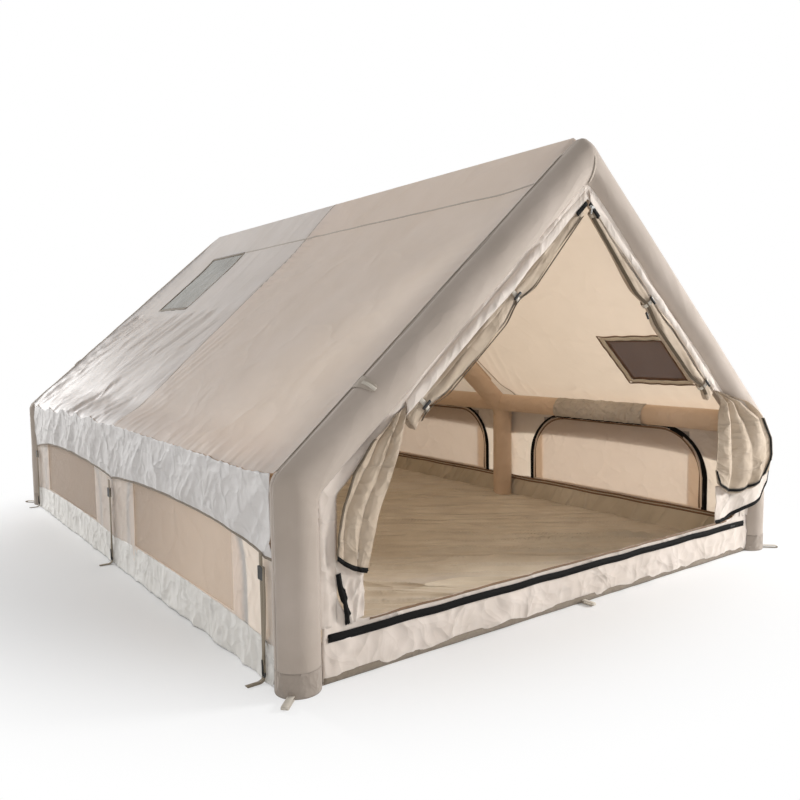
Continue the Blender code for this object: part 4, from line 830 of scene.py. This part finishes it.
def make_rolls():
    for name, side in SIDES:

        def shape(u, v):
            share = u / ROLL_LENGTH
            # Wound three times, so that the sheet's length goes into a spiral
            wound = (1 - np.sqrt(1 - 0.9375 * v / ROLL_SHEET)) / 0.75
            turn = wound * 3 * math.tau
            flute = 1 + 0.09 * np.cos(4 * turn + 3 * math.tau * share)
            flute = flute + 0.12 * rumple(turn * 0.9 + u * 3, u * 5, 101)
            flute = flute + 0.16 * (ridges(turn * 1.6 + u * 7, u * 3, 102, 2) - 0.4)
            wide = roll_size(share) * (1 - 0.75 * wound) * flute
            x, z = roll_frame(side, u, ROLL_MIDDLE * roll_size(share)
                              + ROLL_RADIUS * wide * np.cos(turn + 2.2))
            return x, -GABLE_FACE - 0.028 * wide * np.sin(turn + 2.2), z

        def flap(u, v):
            angle = v / FLAP_WIDTH * 3.7 - 0.35
            lump = 1 + 0.22 * rumple(u * 6, 0, 105) + 0.22 * ridges(v * 22 + u * 4, u * 3, 106, 2)
            deep = 0.021 * lump * (0.45 + 0.55 * ease(u, 0.02, 0.5))
            inset = 0.190 - 0.024 * np.cos(angle) + 0.004 * rumple(u * 7, 3, 107)
            x = side * (0.012 + u * COS)
            return x, -(GABLE_FACE + 0.003 + deep * np.sin(angle)), roof_z(x, inset)

        roll = "door_roll_" + name
        cloth(roll, steps(0, ROLL_LENGTH, 0.014), np.linspace(0, ROLL_SHEET, 90), shape, [DOOR],
              ["front_door_" + name], held="gathered", rests_on=["front_gable"], thick=THICK)
        # A dark tape along the roll's inner side is painted shade: the shadow on that side
        gone = np.linspace(0.02, ROLL_LENGTH - 0.04, 120)
        size = roll_size(gone / ROLL_LENGTH)
        x, z = roll_frame(side, gone, (ROLL_MIDDLE + 0.040) * size)
        tape("roll_painted_shade_" + name, path(x, -GABLE_FACE - 0.012 - 0.006 * size, z),
             (0.4 * side * SIN, -1, 0.4 * COS), 0.016, BORDER, facing=(-side * SIN, 0, -COS),
             rests_on=[roll])
        cloth("door_flap_" + name, steps(0, 1.29, 0.012), np.linspace(0, FLAP_WIDTH, 15), flap,
              [GABLE], held="gathered", rests_on=["front_gable"], thick=THICK, facing=TO_FRONT)
        down = Vector((side * COS, 0, -SIN))
        turn = np.linspace(0, math.tau, 33)
        for place, share in zip(("upper", "lower"), TIE_PLACES):
            label = name + "_" + place
            size = roll_size(share) * 1.20
            x, z = roll_frame(side, share * ROLL_LENGTH, ROLL_MIDDLE * roll_size(share))
            around = ROLL_RADIUS * size * np.cos(turn)
            points = path(x - side * around * SIN, -GABLE_FACE - 0.030 * size * np.sin(turn),
                          z - around * COS)
            tape("door_tie_" + label, points, down, 0.020, PALE_WEBBING,
                 away=(x, -GABLE_FACE, z), rests_on=[roll])
            front = Vector((x, -GABLE_FACE - 0.030 * size - 0.006, z))
            rod("door_toggle_" + label, front - down * 0.022, front + down * 0.022, 0.0058, BLACK)


LEFT_TAIL = (0.30, 0.56)
LEFT_UNDER = (0.13, 0.27)
RIGHT_TAIL = (0.50, 0.58)
RIGHT_UNDER = (0.50, 0.24)


# Each tail is a net of lines across its width, from inner edge to outer edge, at shares of
# its way down. Folds swell out of that net, and the cloth clears the round sleeve behind it.


def left_tail(u, v):
    """The loose end of the left leaf: gathered in its tie, and fanned out below it."""
    s, d = u / LEFT_TAIL[0], v / LEFT_TAIL[1]
    way = [0, 0.2, 0.4, 0.6, 0.8, 1]
    inner_x = np.interp(d, way, [0.975, 1.012, 1.052, 1.095, 1.133, 1.165])
    inner_z = np.interp(d, way, [0.945, 0.830, 0.722, 0.600, 0.480, 0.367])
    outer_x = np.interp(d, way, [1.030, 1.145, 1.218, 1.264, 1.285, 1.291])
    outer_z = np.interp(d, way, [0.915, 0.828, 0.728, 0.620, 0.520, 0.437])
    x = inner_x + (outer_x - inner_x) * s
    z = inner_z + (outer_z - inner_z) * s - 0.012 * np.sin(math.pi * s) * d
    fold = np.abs(np.sin(math.pi * (2.4 * s + 0.15) + 0.5 * rumple(d * 3, 0, 110)))
    swell = 0.030 * (1 - 0.45 * d) * (0.35 + 0.65 * ease(d, 0, 0.12))
    out = 0.005 + swell * (0.25 + 0.75 * fold ** 0.8) + 0.006 * crease(s * 5, d * 5, 112)
    return -x, -(GABLE_FACE + out), z


def left_tail_lining(u, v):
    """The leaf's under layer, which hangs lower than the outer one."""
    s, d = u / LEFT_UNDER[0], v / LEFT_UNDER[1]
    x = np.interp(d, [0, 0.35, 1], [1.300, 1.278, 1.238]) * (1 - s) + 1.172 * s
    z = 0.455 - 0.265 * d + 0.020 * s * d
    out = 0.003 + 0.010 * ridges(s * 3 + d * 2, d * 4, 114, 2)
    return -x, -(GABLE_FACE + out), z


def before_sleeve(x, out):
    """The place towards the front of cloth that has to pass before the right leg's sleeve."""
    stand = (GABLE_Y + GABLE_RADIUS - GABLE_FACE + 0.001) * ease(x, 1.17, 1.34)
    return -(GABLE_FACE + out * (1 - 0.45 * ease(x, 1.2, 1.4)) + stand)


def right_tail(u, v):
    """The loose end of the right leaf: knotted at its tie, with deep folds below."""
    s, d = u / RIGHT_TAIL[0], v / RIGHT_TAIL[1]
    way = [0, 0.15, 0.35, 0.6, 0.8, 1]
    inner_x = np.interp(d, [0, 0.15, 1], [0.995, 1.030, 1.030])
    inner_z = 0.900 - 0.480 * d
    outer_x = np.interp(d, way, [1.050, 1.230, 1.375, 1.462, 1.478, 1.450])
    outer_z = np.interp(d, way, [0.885, 0.835, 0.735, 0.620, 0.530, 0.441])
    x = inner_x + (outer_x - inner_x) * s
    z = inner_z + (outer_z - inner_z) * s
    z = z - 0.105 * d ** 2 * np.sin(math.pi * np.clip(s * 1.02, 0, 1)) ** 0.7 * (1 - 0.45 * s)
    swell = (0.35 + 0.65 * ease(d, 0, 0.15)) * (1 - 0.45 * d)
    fold = np.abs(np.sin(math.pi * (3.3 * s + 0.12) + 0.6 * rumple(d * 2.5, 0, 120)))
    out = 0.006 + 0.046 * swell * (0.12 + 0.88 * fold) + 0.006 * crease(s * 7, d * 4, 122)
    return x, before_sleeve(x, out), z


def right_tail_lining(u, v):
    """The right leaf's under layer, with the zip that meets the sill."""
    s, d = u / RIGHT_UNDER[0], v / RIGHT_UNDER[1]
    low = np.interp(s, [0, 0.2, 0.5, 0.8, 0.95, 1], [0.198, 0.205, 0.250, 0.290, 0.380, 0.450])
    x = 1.036 + 0.440 * s + 0.030 * s * (1 - d)
    z = low + (0.200 - 0.060 * s) * (1 - d)
    return x, before_sleeve(x, 0.003 + 0.008 * ridges(s * 7, d * 1.2, 124, 1.5)), z


def tail_layer(side, kind, size, mesh, shape, look, nodes, over, area):
    """One layer of a tail: size is its flat cut, and mesh how far apart its grid's lines are."""
    columns, rows = [steps(0, whole, apart) for whole, apart in zip(size, mesh)]
    cloth("%s_tail_%s" % (side, kind), columns, rows, shape, [look], nodes, size, "hung", [over],
          area, side + "_tail", thick=THICK, facing=TO_FRONT)


def make_left_tail():
    tail_layer("left", "outer", LEFT_TAIL, (0.006, 0.009), left_tail, DOOR,
               ["front_door_left_tail"], "door_roll_left", 0.112)
    t = np.linspace(0, 1, 60)
    zip_on("left_tail_zip", left_tail, 0.296 - 0.292 * t, 0.552, TO_FRONT, 0.018,
           body="left_tail")
    tape_on("left_tail_edge", left_tail, 0.295, 0.10 + 0.44 * t, 0.010, BORDER, TO_FRONT,
            body="left_tail")
    tail_layer("left", "under", LEFT_UNDER, (0.007, 0.009), left_tail_lining, GABLE, [],
               "left_tail_outer", 0.026)
    zip_on("left_tail_under_zip", left_tail_lining, 0.006, 0.075 + 0.190 * t, TO_FRONT, 0.026,
           body="left_tail")


def make_right_tail():
    tail_layer("right", "cloth", RIGHT_TAIL, (0.006, 0.009), right_tail, DOOR,
               ["front_door_right_tail"], "door_roll_right", 0.24)
    t = np.linspace(0, 1, 120)
    us = np.interp(t, [0, 0.06, 0.62, 0.72, 1], [0.006, 0.02, 0.46, 0.494, 0.494])
    vs = np.interp(t, [0, 0.06, 0.62, 0.72, 1], [0.500, 0.565, 0.565, 0.500, 0.200])
    for name, width, look, lift in (("zip_border", 0.024, HEM, 0.0012),
                                    ("zip", 0.013, ZIP, 0.0034)):
        tape_on("right_tail_" + name, right_tail, us, vs, width, look, TO_FRONT, lift=lift,
                body="right_tail")
    tail_layer("right", "under", RIGHT_UNDER, (0.008, 0.010), right_tail_lining, GABLE, [],
               "right_tail_cloth", 0.085)
    zip_on("right_tail_edge_zip", right_tail_lining, 0.004 + 0.492 * t, 0.232, TO_FRONT, 0.020,
           body="right_tail")


# Side walls, windows, valances and skirts


WALL_END = 1.855
WALL_TOP = 0.690
WINDOW_MIDDLE = 0.935
WINDOW_HALF = 0.585
WINDOW_LOW = 0.170
WINDOW_HIGH = 0.610
COVER_HALF = 0.68
COVER_HEIGHT = 0.48
COVER_CORNER = 0.30
COVER_FOOT = 0.153
STRAP_Y = 1.8
HANGING_END = 1.862
SKIRT_DROP = 0.17


def wall_at(side, face):
    def shape(y, z):
        out = 0.003 * rumple(y * 4 + z * 2, z * 3, 131) + 0.002 * crease(y * 5, z * 6, 132)
        return side * (face + out * ease(z, 0, 0.08)), y, z
    return shape


def cover_top(u):
    """How tall a window's cover is, u along the wall from its middle."""
    beyond = np.clip(np.abs(u) - (COVER_HALF - COVER_CORNER), 0, 0.2999)
    return COVER_HEIGHT - COVER_CORNER + np.sqrt(COVER_CORNER ** 2 - beyond ** 2)


def cover_at(side, middle):
    """The inner flap of a window: along the wall from its middle, and up to its arched top."""
    def shape(u, v):
        z = COVER_FOOT + cover_top(u) * v / COVER_HEIGHT
        out = 0.003 * rumple(u * 4, z * 5, 135) + 0.0015 * crease(u * 5, z * 6, 136)
        return side * (TRAY_INSIDE - 0.0005 - np.abs(out) * ease(v, 0, 0.1)), middle + u, z
    return shape


def window_arch(t, radius_u, radius_v, top, foot):
    """A line up, over and down round a window, for t from -1 to 1: along the wall, and height."""
    far = np.abs(t)
    turn = np.clip((far - 0.36) / 0.34, 0, 1) * math.pi / 2
    down = np.clip((far - 0.70) / 0.30, 0, 1)
    bend = top - COVER_CORNER
    us = (COVER_HALF - COVER_CORNER) * np.clip(far / 0.36, 0, 1) + radius_u * np.sin(turn)
    return np.sign(t) * us, bend + radius_v * np.cos(turn) - (bend - foot) * down


def make_walls():
    t = np.linspace(-1, 1, 130)
    edge = np.linspace(-1.93, 1.93, 160)
    for name, side in SIDES:
        spans = [(end * WINDOW_MIDDLE - WINDOW_HALF, end * WINDOW_MIDDLE + WINDOW_HALF)
                 for _, end in ENDS]
        wall = "side_wall_%s_cloth" % name
        cloth(wall, steps(-WALL_END, WALL_END, 0.018, [y for span in spans for y in span]),
              steps(0, WALL_TOP, 0.018, [WINDOW_LOW, WINDOW_HIGH]), wall_at(side, WALL_X), [WALL],
              ["side_wall_" + name], rests_on=["roof"],
              area=2 * (WALL_END * WALL_TOP - 1.170 * 0.440),
              holes=[(*span, WINDOW_LOW, WINDOW_HIGH) for span in spans], facing=(side, 0, 0))
        for (bay, _), (y0, y1) in zip(ENDS, spans):
            label = name + "_" + bay
            cover = "cover_" + label
            middle = (y0 + y1) / 2
            cloth("window_net_" + label, steps(y0, y1, 0.02), steps(WINDOW_LOW, WINDOW_HIGH, 0.02),
                  wall_at(side, WALL_X - 0.001), [NET], ["window_mesh_" + label],
                  rests_on=[wall], facing=(side, 0, 0))
            cloth(cover, steps(-0.6799, 0.6799, 0.02), steps(0, COVER_HEIGHT, 0.016),
                  cover_at(side, middle), [PANEL], ["window_cover_" + label],
                  (1.36, COVER_HEIGHT), "hung", [wall], 0.61, cover, facing=(side, 0, 0))
            us, vs = window_arch(t, COVER_CORNER + 0.012, COVER_CORNER + 0.006, 0.622, 0.150)
            zip_on("cover_zip_" + label, wall_at(side, WALL_X), middle + us, vs, (-side, 0, 0),
                   0.036, lift=0.0066)
            us, vs = window_arch(t, COVER_CORNER - 0.019, COVER_CORNER - 0.019, 0.633, 0.160)
            tape_on("cover_trim_" + label, cover_at(side, middle), us,
                    (vs - COVER_FOOT) * COVER_HEIGHT / cover_top(us), 0.012, BROWN_TRIM,
                    (-side, 0, 0), lift=0.0016, body=cover)
        for row, z in (("upper", 0.146), ("lower", 0.128)):
            tape("tray_piping_%s_%s" % (name, row),
                 path(side * 1.4590, edge, z + 0.003 * rumple(edge * 5, 0, 138)), (0, 0, 1),
                 0.011, BROWN_TRIM, facing=(-side, 0, 0), rests_on=["floor_cloth"])


def between_straps(y):
    """0 at each strap and 1 half way to the next."""
    return np.where(np.abs(y) < STRAP_Y, np.abs(np.sin(math.pi * y / STRAP_Y)), 0)


def hem_height(y):
    """Height of the valance's edge: drawn up between the straps."""
    return 0.4575 + 0.046 * between_straps(y) ** 0.6 - 0.018 * ease(np.abs(y), 1.35, 1.85)


def valance_at(side):
    def shape(y, v):
        share = v / VALANCE_DROP
        top_x, _, top_z = roof_at(0)(y, side * ROOF_REACH)
        z = top_z + (hem_height(y) - top_z) * share
        # Broad folds fall from the eave and lean to the rear, with crumples between them
        lean = y + 0.95 * (z - 0.6)
        broad = ridges(lean * 5.5, (z - 0.5 * y) * 1.6, 142, 2)
        thin = ridges(lean * 13, (z - 0.5 * y) * 3.5, 143, 3)
        slack = np.sin(math.pi * np.clip(0.08 + 0.62 * share, 0, 1))
        out = 0.001 + 0.016 * slack * broad + 0.006 * slack * thin
        out = out + 0.006 * (crease(y * 7, z * 9, 144) - 0.3) * np.minimum(1, 4 * share)
        hem = np.minimum(1, (1 - share) * 6)
        return side * (np.abs(top_x) + out * (0.35 + 0.65 * hem)), y, z
    return shape


def skirt_at(side):
    def shape(y, v):
        share = v / SKIRT_DROP
        top = 0.138 + 0.030 * between_straps(y) ** 0.5 + 0.002 * rumple(y * 30, 0, 150)
        z = top + (0.003 - top) * share
        gathers = ridges(y * 24, share, 151, 2) * (1 - 0.7 * share)
        broad = ridges((y + 0.8 * z) * 6.5, share * 1.5, 152, 2)
        out = 0.0015 + 0.006 * gathers * np.minimum(1, 8 * share) + 0.013 * broad * share
        out = out + 0.006 * (crease(y * 9, z * 14, 153) - 0.2) * np.minimum(1, 3 * share)
        return side * (WALL_X + np.maximum(out, 0.0008)), y, z
    return shape


def make_strap(label, side, y, valance):
    """A tension strap from the valance to its peg loop, its loose end and its hook."""
    gone = np.linspace(0, 6, 60)
    x = np.interp(gone, range(7), [1.4900, 1.4885, 1.4878, 1.4880, 1.4920, 1.5050, 1.5555])
    z = np.interp(gone, range(7), [0.456, 0.30, 0.12, 0.03, 0.010, 0.0035, 0.0030])
    tape("strap_" + label, path(side * x, y, z), (0, 1, 0), 0.025, WEBBING, thick=THIN,
         facing=(side, 0, 0), rests_on=[valance])
    s = np.linspace(0, 1, 40)
    loose = path(side * (1.4925 + 0.004 * np.sin(math.pi * s)),
                 y - 0.034 * np.sin(math.pi * (0.2 + 0.8 * s)), 0.415 - 0.35 * s)
    tape("strap_end_" + label, loose, (0, 1, 0), 0.018, WEBBING, thick=THIN,
         facing=(side, 0, 0), held="hung")
    # The hook is open to the front
    bend = [Vector((side * 1.4935, y, 0.082))]
    for turn in np.linspace(0, 1.25 * math.pi, 15):
        bend.append(Vector((side * 1.4935, y - 0.010 + 0.010 * math.cos(turn),
                            0.034 - 0.010 * math.sin(turn))))
    for k, (low, high) in enumerate(zip(bend[0:-1:3], bend[3::3])):
        rod("strap_hook_%s_%d" % (label, k), low, high, 0.0034, BLACK, sides=12)


def make_hangings():
    t = np.linspace(-1, 1, 300)
    for name, side in SIDES:
        valance = "valance_%s_cloth" % name
        along = steps(-HANGING_END, HANGING_END, 0.0085)
        cloth(valance, along, steps(0, VALANCE_DROP, 0.0085), valance_at(side), [GATHERED],
              ["valance_" + name], (4.2, VALANCE_DROP), "gathered", ["roof"], thick=THIN,
              facing=(side, 0, 0))
        # The skirt wears the lighter copy of the valance's cloth, as painted light
        cloth("skirt_" + name, along, steps(0, SKIRT_DROP, 0.0085), skirt_at(side),
              [SKIRT_CLOTH_LIT], ["mud_skirt_" + name], (4.2, 0.18), "gathered",
              ["side_wall_%s_cloth" % name], thick=THIN, facing=(side, 0, 0))
        tape_on("valance_hem_" + name, valance_at(side), t * 1.86, VALANCE_DROP - 0.004, 0.011,
                HEM, (side, 0, 0), lift=0.0012)
        for bay, y in (("front", -STRAP_Y), ("middle", 0.0), ("rear", STRAP_Y)):
            make_strap(name + "_" + bay, side, y, valance)


# Groundsheet


TRAY_X = 1.462
TRAY_Y = 1.942
TRAY_EDGE = 0.148


def floor_shape(u, v):
    """Flat cloth whose edges turn up, with its corners folded."""
    x, y = np.clip(u, -TRAY_X, TRAY_X), np.clip(v, -TRAY_Y, TRAY_Y)
    rise = np.maximum(np.maximum(np.abs(u) - TRAY_X, np.abs(v) - TRAY_Y), 0)
    flat = np.minimum(1, np.minimum(TRAY_X - np.abs(x), TRAY_Y - np.abs(y)) / 0.06)
    over = 0.6 * x + 0.8 * y
    run = 0.8 * x - 0.6 * y
    wave = over * 6.5 + 0.9 * rumple(over * 1.5, run * 0.8, 161)
    folds = 0.020 * (1 - np.abs(np.sin(math.pi * wave))) ** 3 * (0.3 + crease(x * 2, y * 2, 164))
    folds = folds + 0.022 * ridges(over * 10, run * 0.7, 163, 4)
    folds = folds + 0.005 * crease(x * 4, y * 4, 162)
    return x, y, 0.0015 + rise + folds * np.clip(flat, 0, 1)


def make_floor():
    columns, rows = [steps(-inside - TRAY_EDGE, inside + TRAY_EDGE, 0.0135, [-inside, inside])
                     for inside in (TRAY_X, TRAY_Y)]
    cloth("floor_cloth", columns, rows, floor_shape, [FLOOR_CLOTH], ["groundsheet"], (3.22, 4.18),
          "laid", ["ground"], 13.2, facing=(0, 0, 1))


POUCH_ROUND = 0.255


def pouch_shape(y, v):
    """A cloth pocket slung under the right front eave tube, from its outer side to its inner."""
    low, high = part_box("eave_tube_right_front")
    x, z = (high[0] + low[0]) / 2, (high[2] + low[2]) / 2
    turn = math.radians(95) + v / POUCH_ROUND * math.radians(205)
    bulge = 0.012 * np.clip(np.cos((turn - math.radians(215)) * 1.3), 0, 1) ** 2
    crumple = 0.005 * crease(y * 17, v * 26, 171) + 0.002 * rumple(y * 40, v * 40, 172)
    r = 0.064 + bulge + crumple
    return x + r * np.cos(turn), y, z + r * np.sin(turn)


def make_pouch():
    cloth("tube_pouch", steps(-1.30, -0.60, 0.007), steps(0, POUCH_ROUND, 0.007), pouch_shape,
          [POCKET], ["beam_pouch"], (0.70, 0.26), "gathered", ["eave_sleeve_right_front"],
          thick=THIN, facing=(-1, 0, -0.3))
    zip_on("pouch_zip", pouch_shape, -0.61 - 0.68 * np.linspace(0, 1, 60), 0.172, (-1, 0, -0.6),
           0.013)


# Small parts


def rod(name, start, end, radius, look, sides=20):
    """A round peg with softened ends."""
    shape = bmesh.new()
    turn = (end - start).to_track_quat("Z", "Y").to_matrix().to_4x4()
    bmesh.ops.create_cone(shape, cap_ends=True, segments=sides, radius1=radius, radius2=radius,
                          depth=(end - start).length,
                          matrix=Matrix.Translation((start + end) / 2) @ turn)
    rims = [edge for edge in shape.edges if edge.calc_face_angle(0) > 1]
    bmesh.ops.bevel(shape, geom=rims, offset=radius * 0.3, offset_type="OFFSET", segments=3,
                    profile=0.5, affect="EDGES", material=-1)
    mesh = bpy.data.meshes.new(name)
    shape.to_mesh(mesh)
    shape.free()
    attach(finish_piece(name, mesh, [look]), "tent")


def loop_tape(name, start, out, across, length):
    """A folded loop of webbing that stands off start along out."""
    out, across = Vector(out).normalized(), Vector(across).normalized()
    up = out.cross(across)
    t = np.linspace(0, 1, 41)
    angle = math.pi * np.clip((t - 0.35) / 0.3, 0, 1)
    gone = np.where(t < 0.5, np.minimum(t / 0.35, 1), np.minimum((1 - t) / 0.35, 1))
    half = 0.006
    ahead = gone * (length - half) + half * np.sin(angle)
    points = [Vector(start) + out * a + up * b for a, b in zip(ahead, half * np.cos(angle))]
    tape(name, points, across, 0.025, PALE_WEBBING, thick=THIN,
         away=Vector(start) + out * length / 2)


def make_guy_tab(end_name, name, side, end):
    """A triangular tab from the roof's edge: it lies over the tube, or stands off the slope."""
    y = end * GABLE_Y
    up = Vector((side * SIN, 0, COS))
    along = Vector((side * COS, 0, -SIN))
    seat = Vector((side * 1.10, y, roof_z(1.10, GABLE_RADIUS)))
    reach = GABLE_RADIUS + 0.004
    long = 0.085

    def lying(u, v):
        wide = u * (1 - 0.5 * v / long)
        turn = v / reach - 0.1
        lift = reach * np.cos(turn)
        return (seat.x + along.x * wide + up.x * lift, y + end * reach * np.sin(turn),
                seat.z + along.z * wide + up.z * lift)

    def standing(u, v):
        gone = v * 1.9
        lift = reach - 0.004 + 0.24 * gone
        return (seat.x + along.x * gone + up.x * lift, y + u * (1 - 0.7 * v / long) - end * 0.01,
                seat.z + along.z * gone + up.z * lift - 1.2 * gone ** 2)

    # The photograph shows only the right front one standing
    shape, area = (standing, 0.0070) if (name, end_name) == ("right", "front") else (lying, 0.0040)
    cloth("guy_tab_%s_%s" % (end_name, name), steps(-0.030, 0.030, 0.004), steps(0, long, 0.004),
          shape, [SEAM], flat=(0.06, 0.16), rests_on=["roof"], area=area, thick=THICK,
          facing=(up.x, 0, up.z))
    tape_on("guy_loop_%s_%s" % (end_name, name), shape, 0, np.linspace(0.030, 0.090, 20), 0.014,
            PALE_WEBBING, (up.x, 0, up.z), lift=0.002)


def make_foot_patches():
    """The stiffer cloth round the foot of each gable leg."""
    round_it = GABLE_RADIUS * math.tau
    for end_name, end in ENDS:
        for name, side in SIDES:
            middle = side * (HALF_WIDTH - GABLE_RADIUS)
            y = end * GABLE_Y

            def shape(u, v):
                turn = u / GABLE_RADIUS
                reach = GABLE_RADIUS + 0.0008 + 0.001 * rumple(u * 20, v * 20, 181)
                return middle + reach * np.cos(turn), y + reach * np.sin(turn), 0.0015 + v

            cloth("foot_patch_%s_%s" % (end_name, name), np.linspace(0, round_it, 97),
                  steps(0, 0.085, 0.0085), shape, [HEM_CLOTH], rests_on=[end_name + "_sleeve"],
                  thick=THIN, away=(middle, y, 0.04))


def make_apex():
    """What lies at the top of the front: mitre seam, ends of the zip, slider, spare toggle."""
    middle = RIDGE - GABLE_RADIUS / COS - 0.015
    z = np.linspace(middle - 0.085, middle + 0.055, 50)
    off = (z - middle) * COS
    line = path(0.002 * np.sin(z * 40), -GABLE_Y - np.sqrt(0.0812 ** 2 - off ** 2), z)
    tape("sleeve_mitre_seam", line, (1, 0, 0), 0.012, SEAM, thick=THIN,
         away=(0, -GABLE_Y, middle))
    # The leaves' zip shows for a hand's width at the top of the doorway
    t = np.linspace(0.022, 0.105, 12)
    for name, side in SIDES:
        line = path(side * (t * COS - 0.012 * SIN), -GABLE_FACE - 0.016,
                    roof_z(0, DOOR_INSET) - t * SIN - 0.012 * COS)
        tape("door_zip_end_" + name, line, (-side * SIN, 0, -COS), 0.020, ZIP, facing=TO_FRONT)
    slider = Vector((-0.004, -GABLE_FACE - 0.030, 1.735))
    rod("door_slider_body", slider, slider + Vector((0.022, 0, -0.004)), 0.0060, SILVER)
    rod("door_slider_pull", slider + Vector((0.004, -0.005, 0)),
        slider + Vector((-0.004, -0.008, -0.034)), 0.0028, SILVER)
    hung = Vector((0.440, -GABLE_FACE - 0.008, 1.262))
    rod("spare_toggle", hung, hung + Vector((-0.018, 0, 0.030)), 0.0052, BLACK)
    t = np.linspace(0, 1, 20)
    line = path(hung.x - 0.009 + 0.075 * t, hung.y + 0.012 * t,
                hung.z + 0.015 + 0.018 * np.sin(math.pi * t))
    tape("spare_toggle_tape", line, (0, 1, 0), 0.010, PALE_WEBBING, thick=THIN,
         facing=(0, 0, 1))


def make_small_parts():
    for end_name, end in ENDS:
        for name, side in SIDES:
            out = Vector((side, end, 0)).normalized()
            foot = Vector((side * (HALF_WIDTH - GABLE_RADIUS), end * GABLE_Y, 0.0085))
            loop_tape("corner_loop_%s_%s" % (end_name, name), foot + out * GABLE_RADIUS, out,
                      (-out.y, out.x, 0), 0.080)
            make_guy_tab(end_name, name, side, end)
        loop_tape("middle_loop_" + end_name, (0, end * GABLE_FACE, 0.0085), (0, end, 0),
                  (1, 0, 0), 0.066)


def dress_hard_parts():
    for name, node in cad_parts.items():
        look = None
        if "slider" in name or "buckle" in name:
            look = BLACK
        elif "valve" in name:
            look = VALVE
        if look:
            node.data.materials.clear()
            node.data.materials.append(look)


# Floor, light and camera


def seen_from_view(tree):
    """1 for rays from the camera, from a mirror or through glass, and 0 for light itself."""
    rays = add(tree, "LightPath").outputs
    seen = join(tree, "MAXIMUM", rays["Is Camera Ray"], rays["Is Glossy Ray"])
    return join(tree, "MAXIMUM", seen, rays["Is Transmission Ray"])


def make_stage():
    ground = bmesh.new()
    bmesh.ops.create_grid(ground, x_segments=1, y_segments=1, size=30)
    mesh = bpy.data.meshes.new("studio_floor")
    ground.to_mesh(mesh)
    ground.free()
    made, tree = start_material("white_studio_floor")
    shader = add(tree, "BsdfPrincipled", Roughness=0.9, Base_Color=linear("FAFAFA"),
                 Specular_IOR_Level=0.0)
    # Past the tent's shadow the floor fades to plain white, for what looks at it only
    place = add(tree, "TexCoord")
    far = add(tree, "VectorMath", [(0, place.outputs["Object"])], operation="LENGTH")
    fade = add(tree, "MapRange", [("Value", far.outputs["Value"])],
               interpolation_type="SMOOTHSTEP", From_Min=1.8, From_Max=3.0)
    looked = join(tree, "MULTIPLY", fade.outputs["Result"], seen_from_view(tree))
    white = add(tree, "Emission", Strength=1.0)
    end_material(made, tree, mix(tree, shader, white, [("Fac", looked)]))
    finish_piece("studio_floor", mesh, [made], smooth=False)

    world = bpy.data.worlds.new("studio")
    world.use_nodes = True
    tree = world.node_tree
    tree.nodes.clear()
    fill, white = [add(tree, "Background", Strength=level, Color=(1, 1, 1, 1))
                   for level in (WORLD_LEVEL, 1.0)]
    both = mix(tree, fill, white, [("Fac", seen_from_view(tree))])
    add(tree, "OutputWorld", [("Surface", both.outputs["Shader"])])
    bpy.context.scene.world = world


def lamp(name, place, target, size, power):
    light = bpy.data.lights.new(name, "AREA")
    light.shape = "DISK"
    light.size = size
    light.energy = power
    made = bpy.data.objects.new(name, light)
    made.location = place
    made.rotation_euler = (Vector(target) - Vector(place)).to_track_quat("-Z", "Y").to_euler()
    bpy.context.scene.collection.objects.link(made)


def make_camera():
    """The photograph's own camera, as fitted to the tent's corners."""
    yaw, pitch, roll = 0.6351, -0.0797, -0.0116
    ahead = Vector((math.sin(yaw) * math.cos(pitch), math.cos(yaw) * math.cos(pitch),
                    math.sin(pitch)))
    right = Vector((math.cos(yaw), -math.sin(yaw), 0))
    up = right.cross(ahead)
    right, up = (math.cos(roll) * right + math.sin(roll) * up,
                 math.cos(roll) * up - math.sin(roll) * right)
    data = bpy.data.cameras.new("camera")
    data.sensor_width = 36.0
    # The fitted focal length is 765.5 pixels of a picture 800 pixels wide
    data.lens = data.sensor_width * 765.5 / 800
    made = bpy.data.objects.new("camera", data)
    turn = Matrix((right, up, -ahead)).transposed()
    made.matrix_world = Matrix.Translation((-2.6255, -4.1573, 1.1829)) @ turn.to_4x4()
    bpy.context.scene.collection.objects.link(made)
    bpy.context.scene.camera = made


make_camera()
make_roof()
make_sleeves()
make_eave_tubes()
make_gables()
make_rolls()
make_left_tail()
make_right_tail()
make_walls()
make_hangings()
make_floor()
make_pouch()
make_small_parts()
make_foot_patches()
make_apex()
dress_hard_parts()
make_stage()
lamp("overhead", (0.0, -0.5, 6.0), (0, 0, 0.5), 3.0, 22)
lamp("key_right", (5.4, -4.8, 2.8), (0, 0, 0.9), 2.0, 440)
lamp("raking_rear_left", (-3.0, 6.8, 3.0), (-0.6, 0, 0.8), 1.2, 270)
lamp("fill_front_left", (-4.6, -5.0, 1.3), (-0.6, -1.5, 0.6), 2.5, 35)
bpy.context.scene.view_settings.view_transform = "Standard"
bpy.context.view_layer.update()
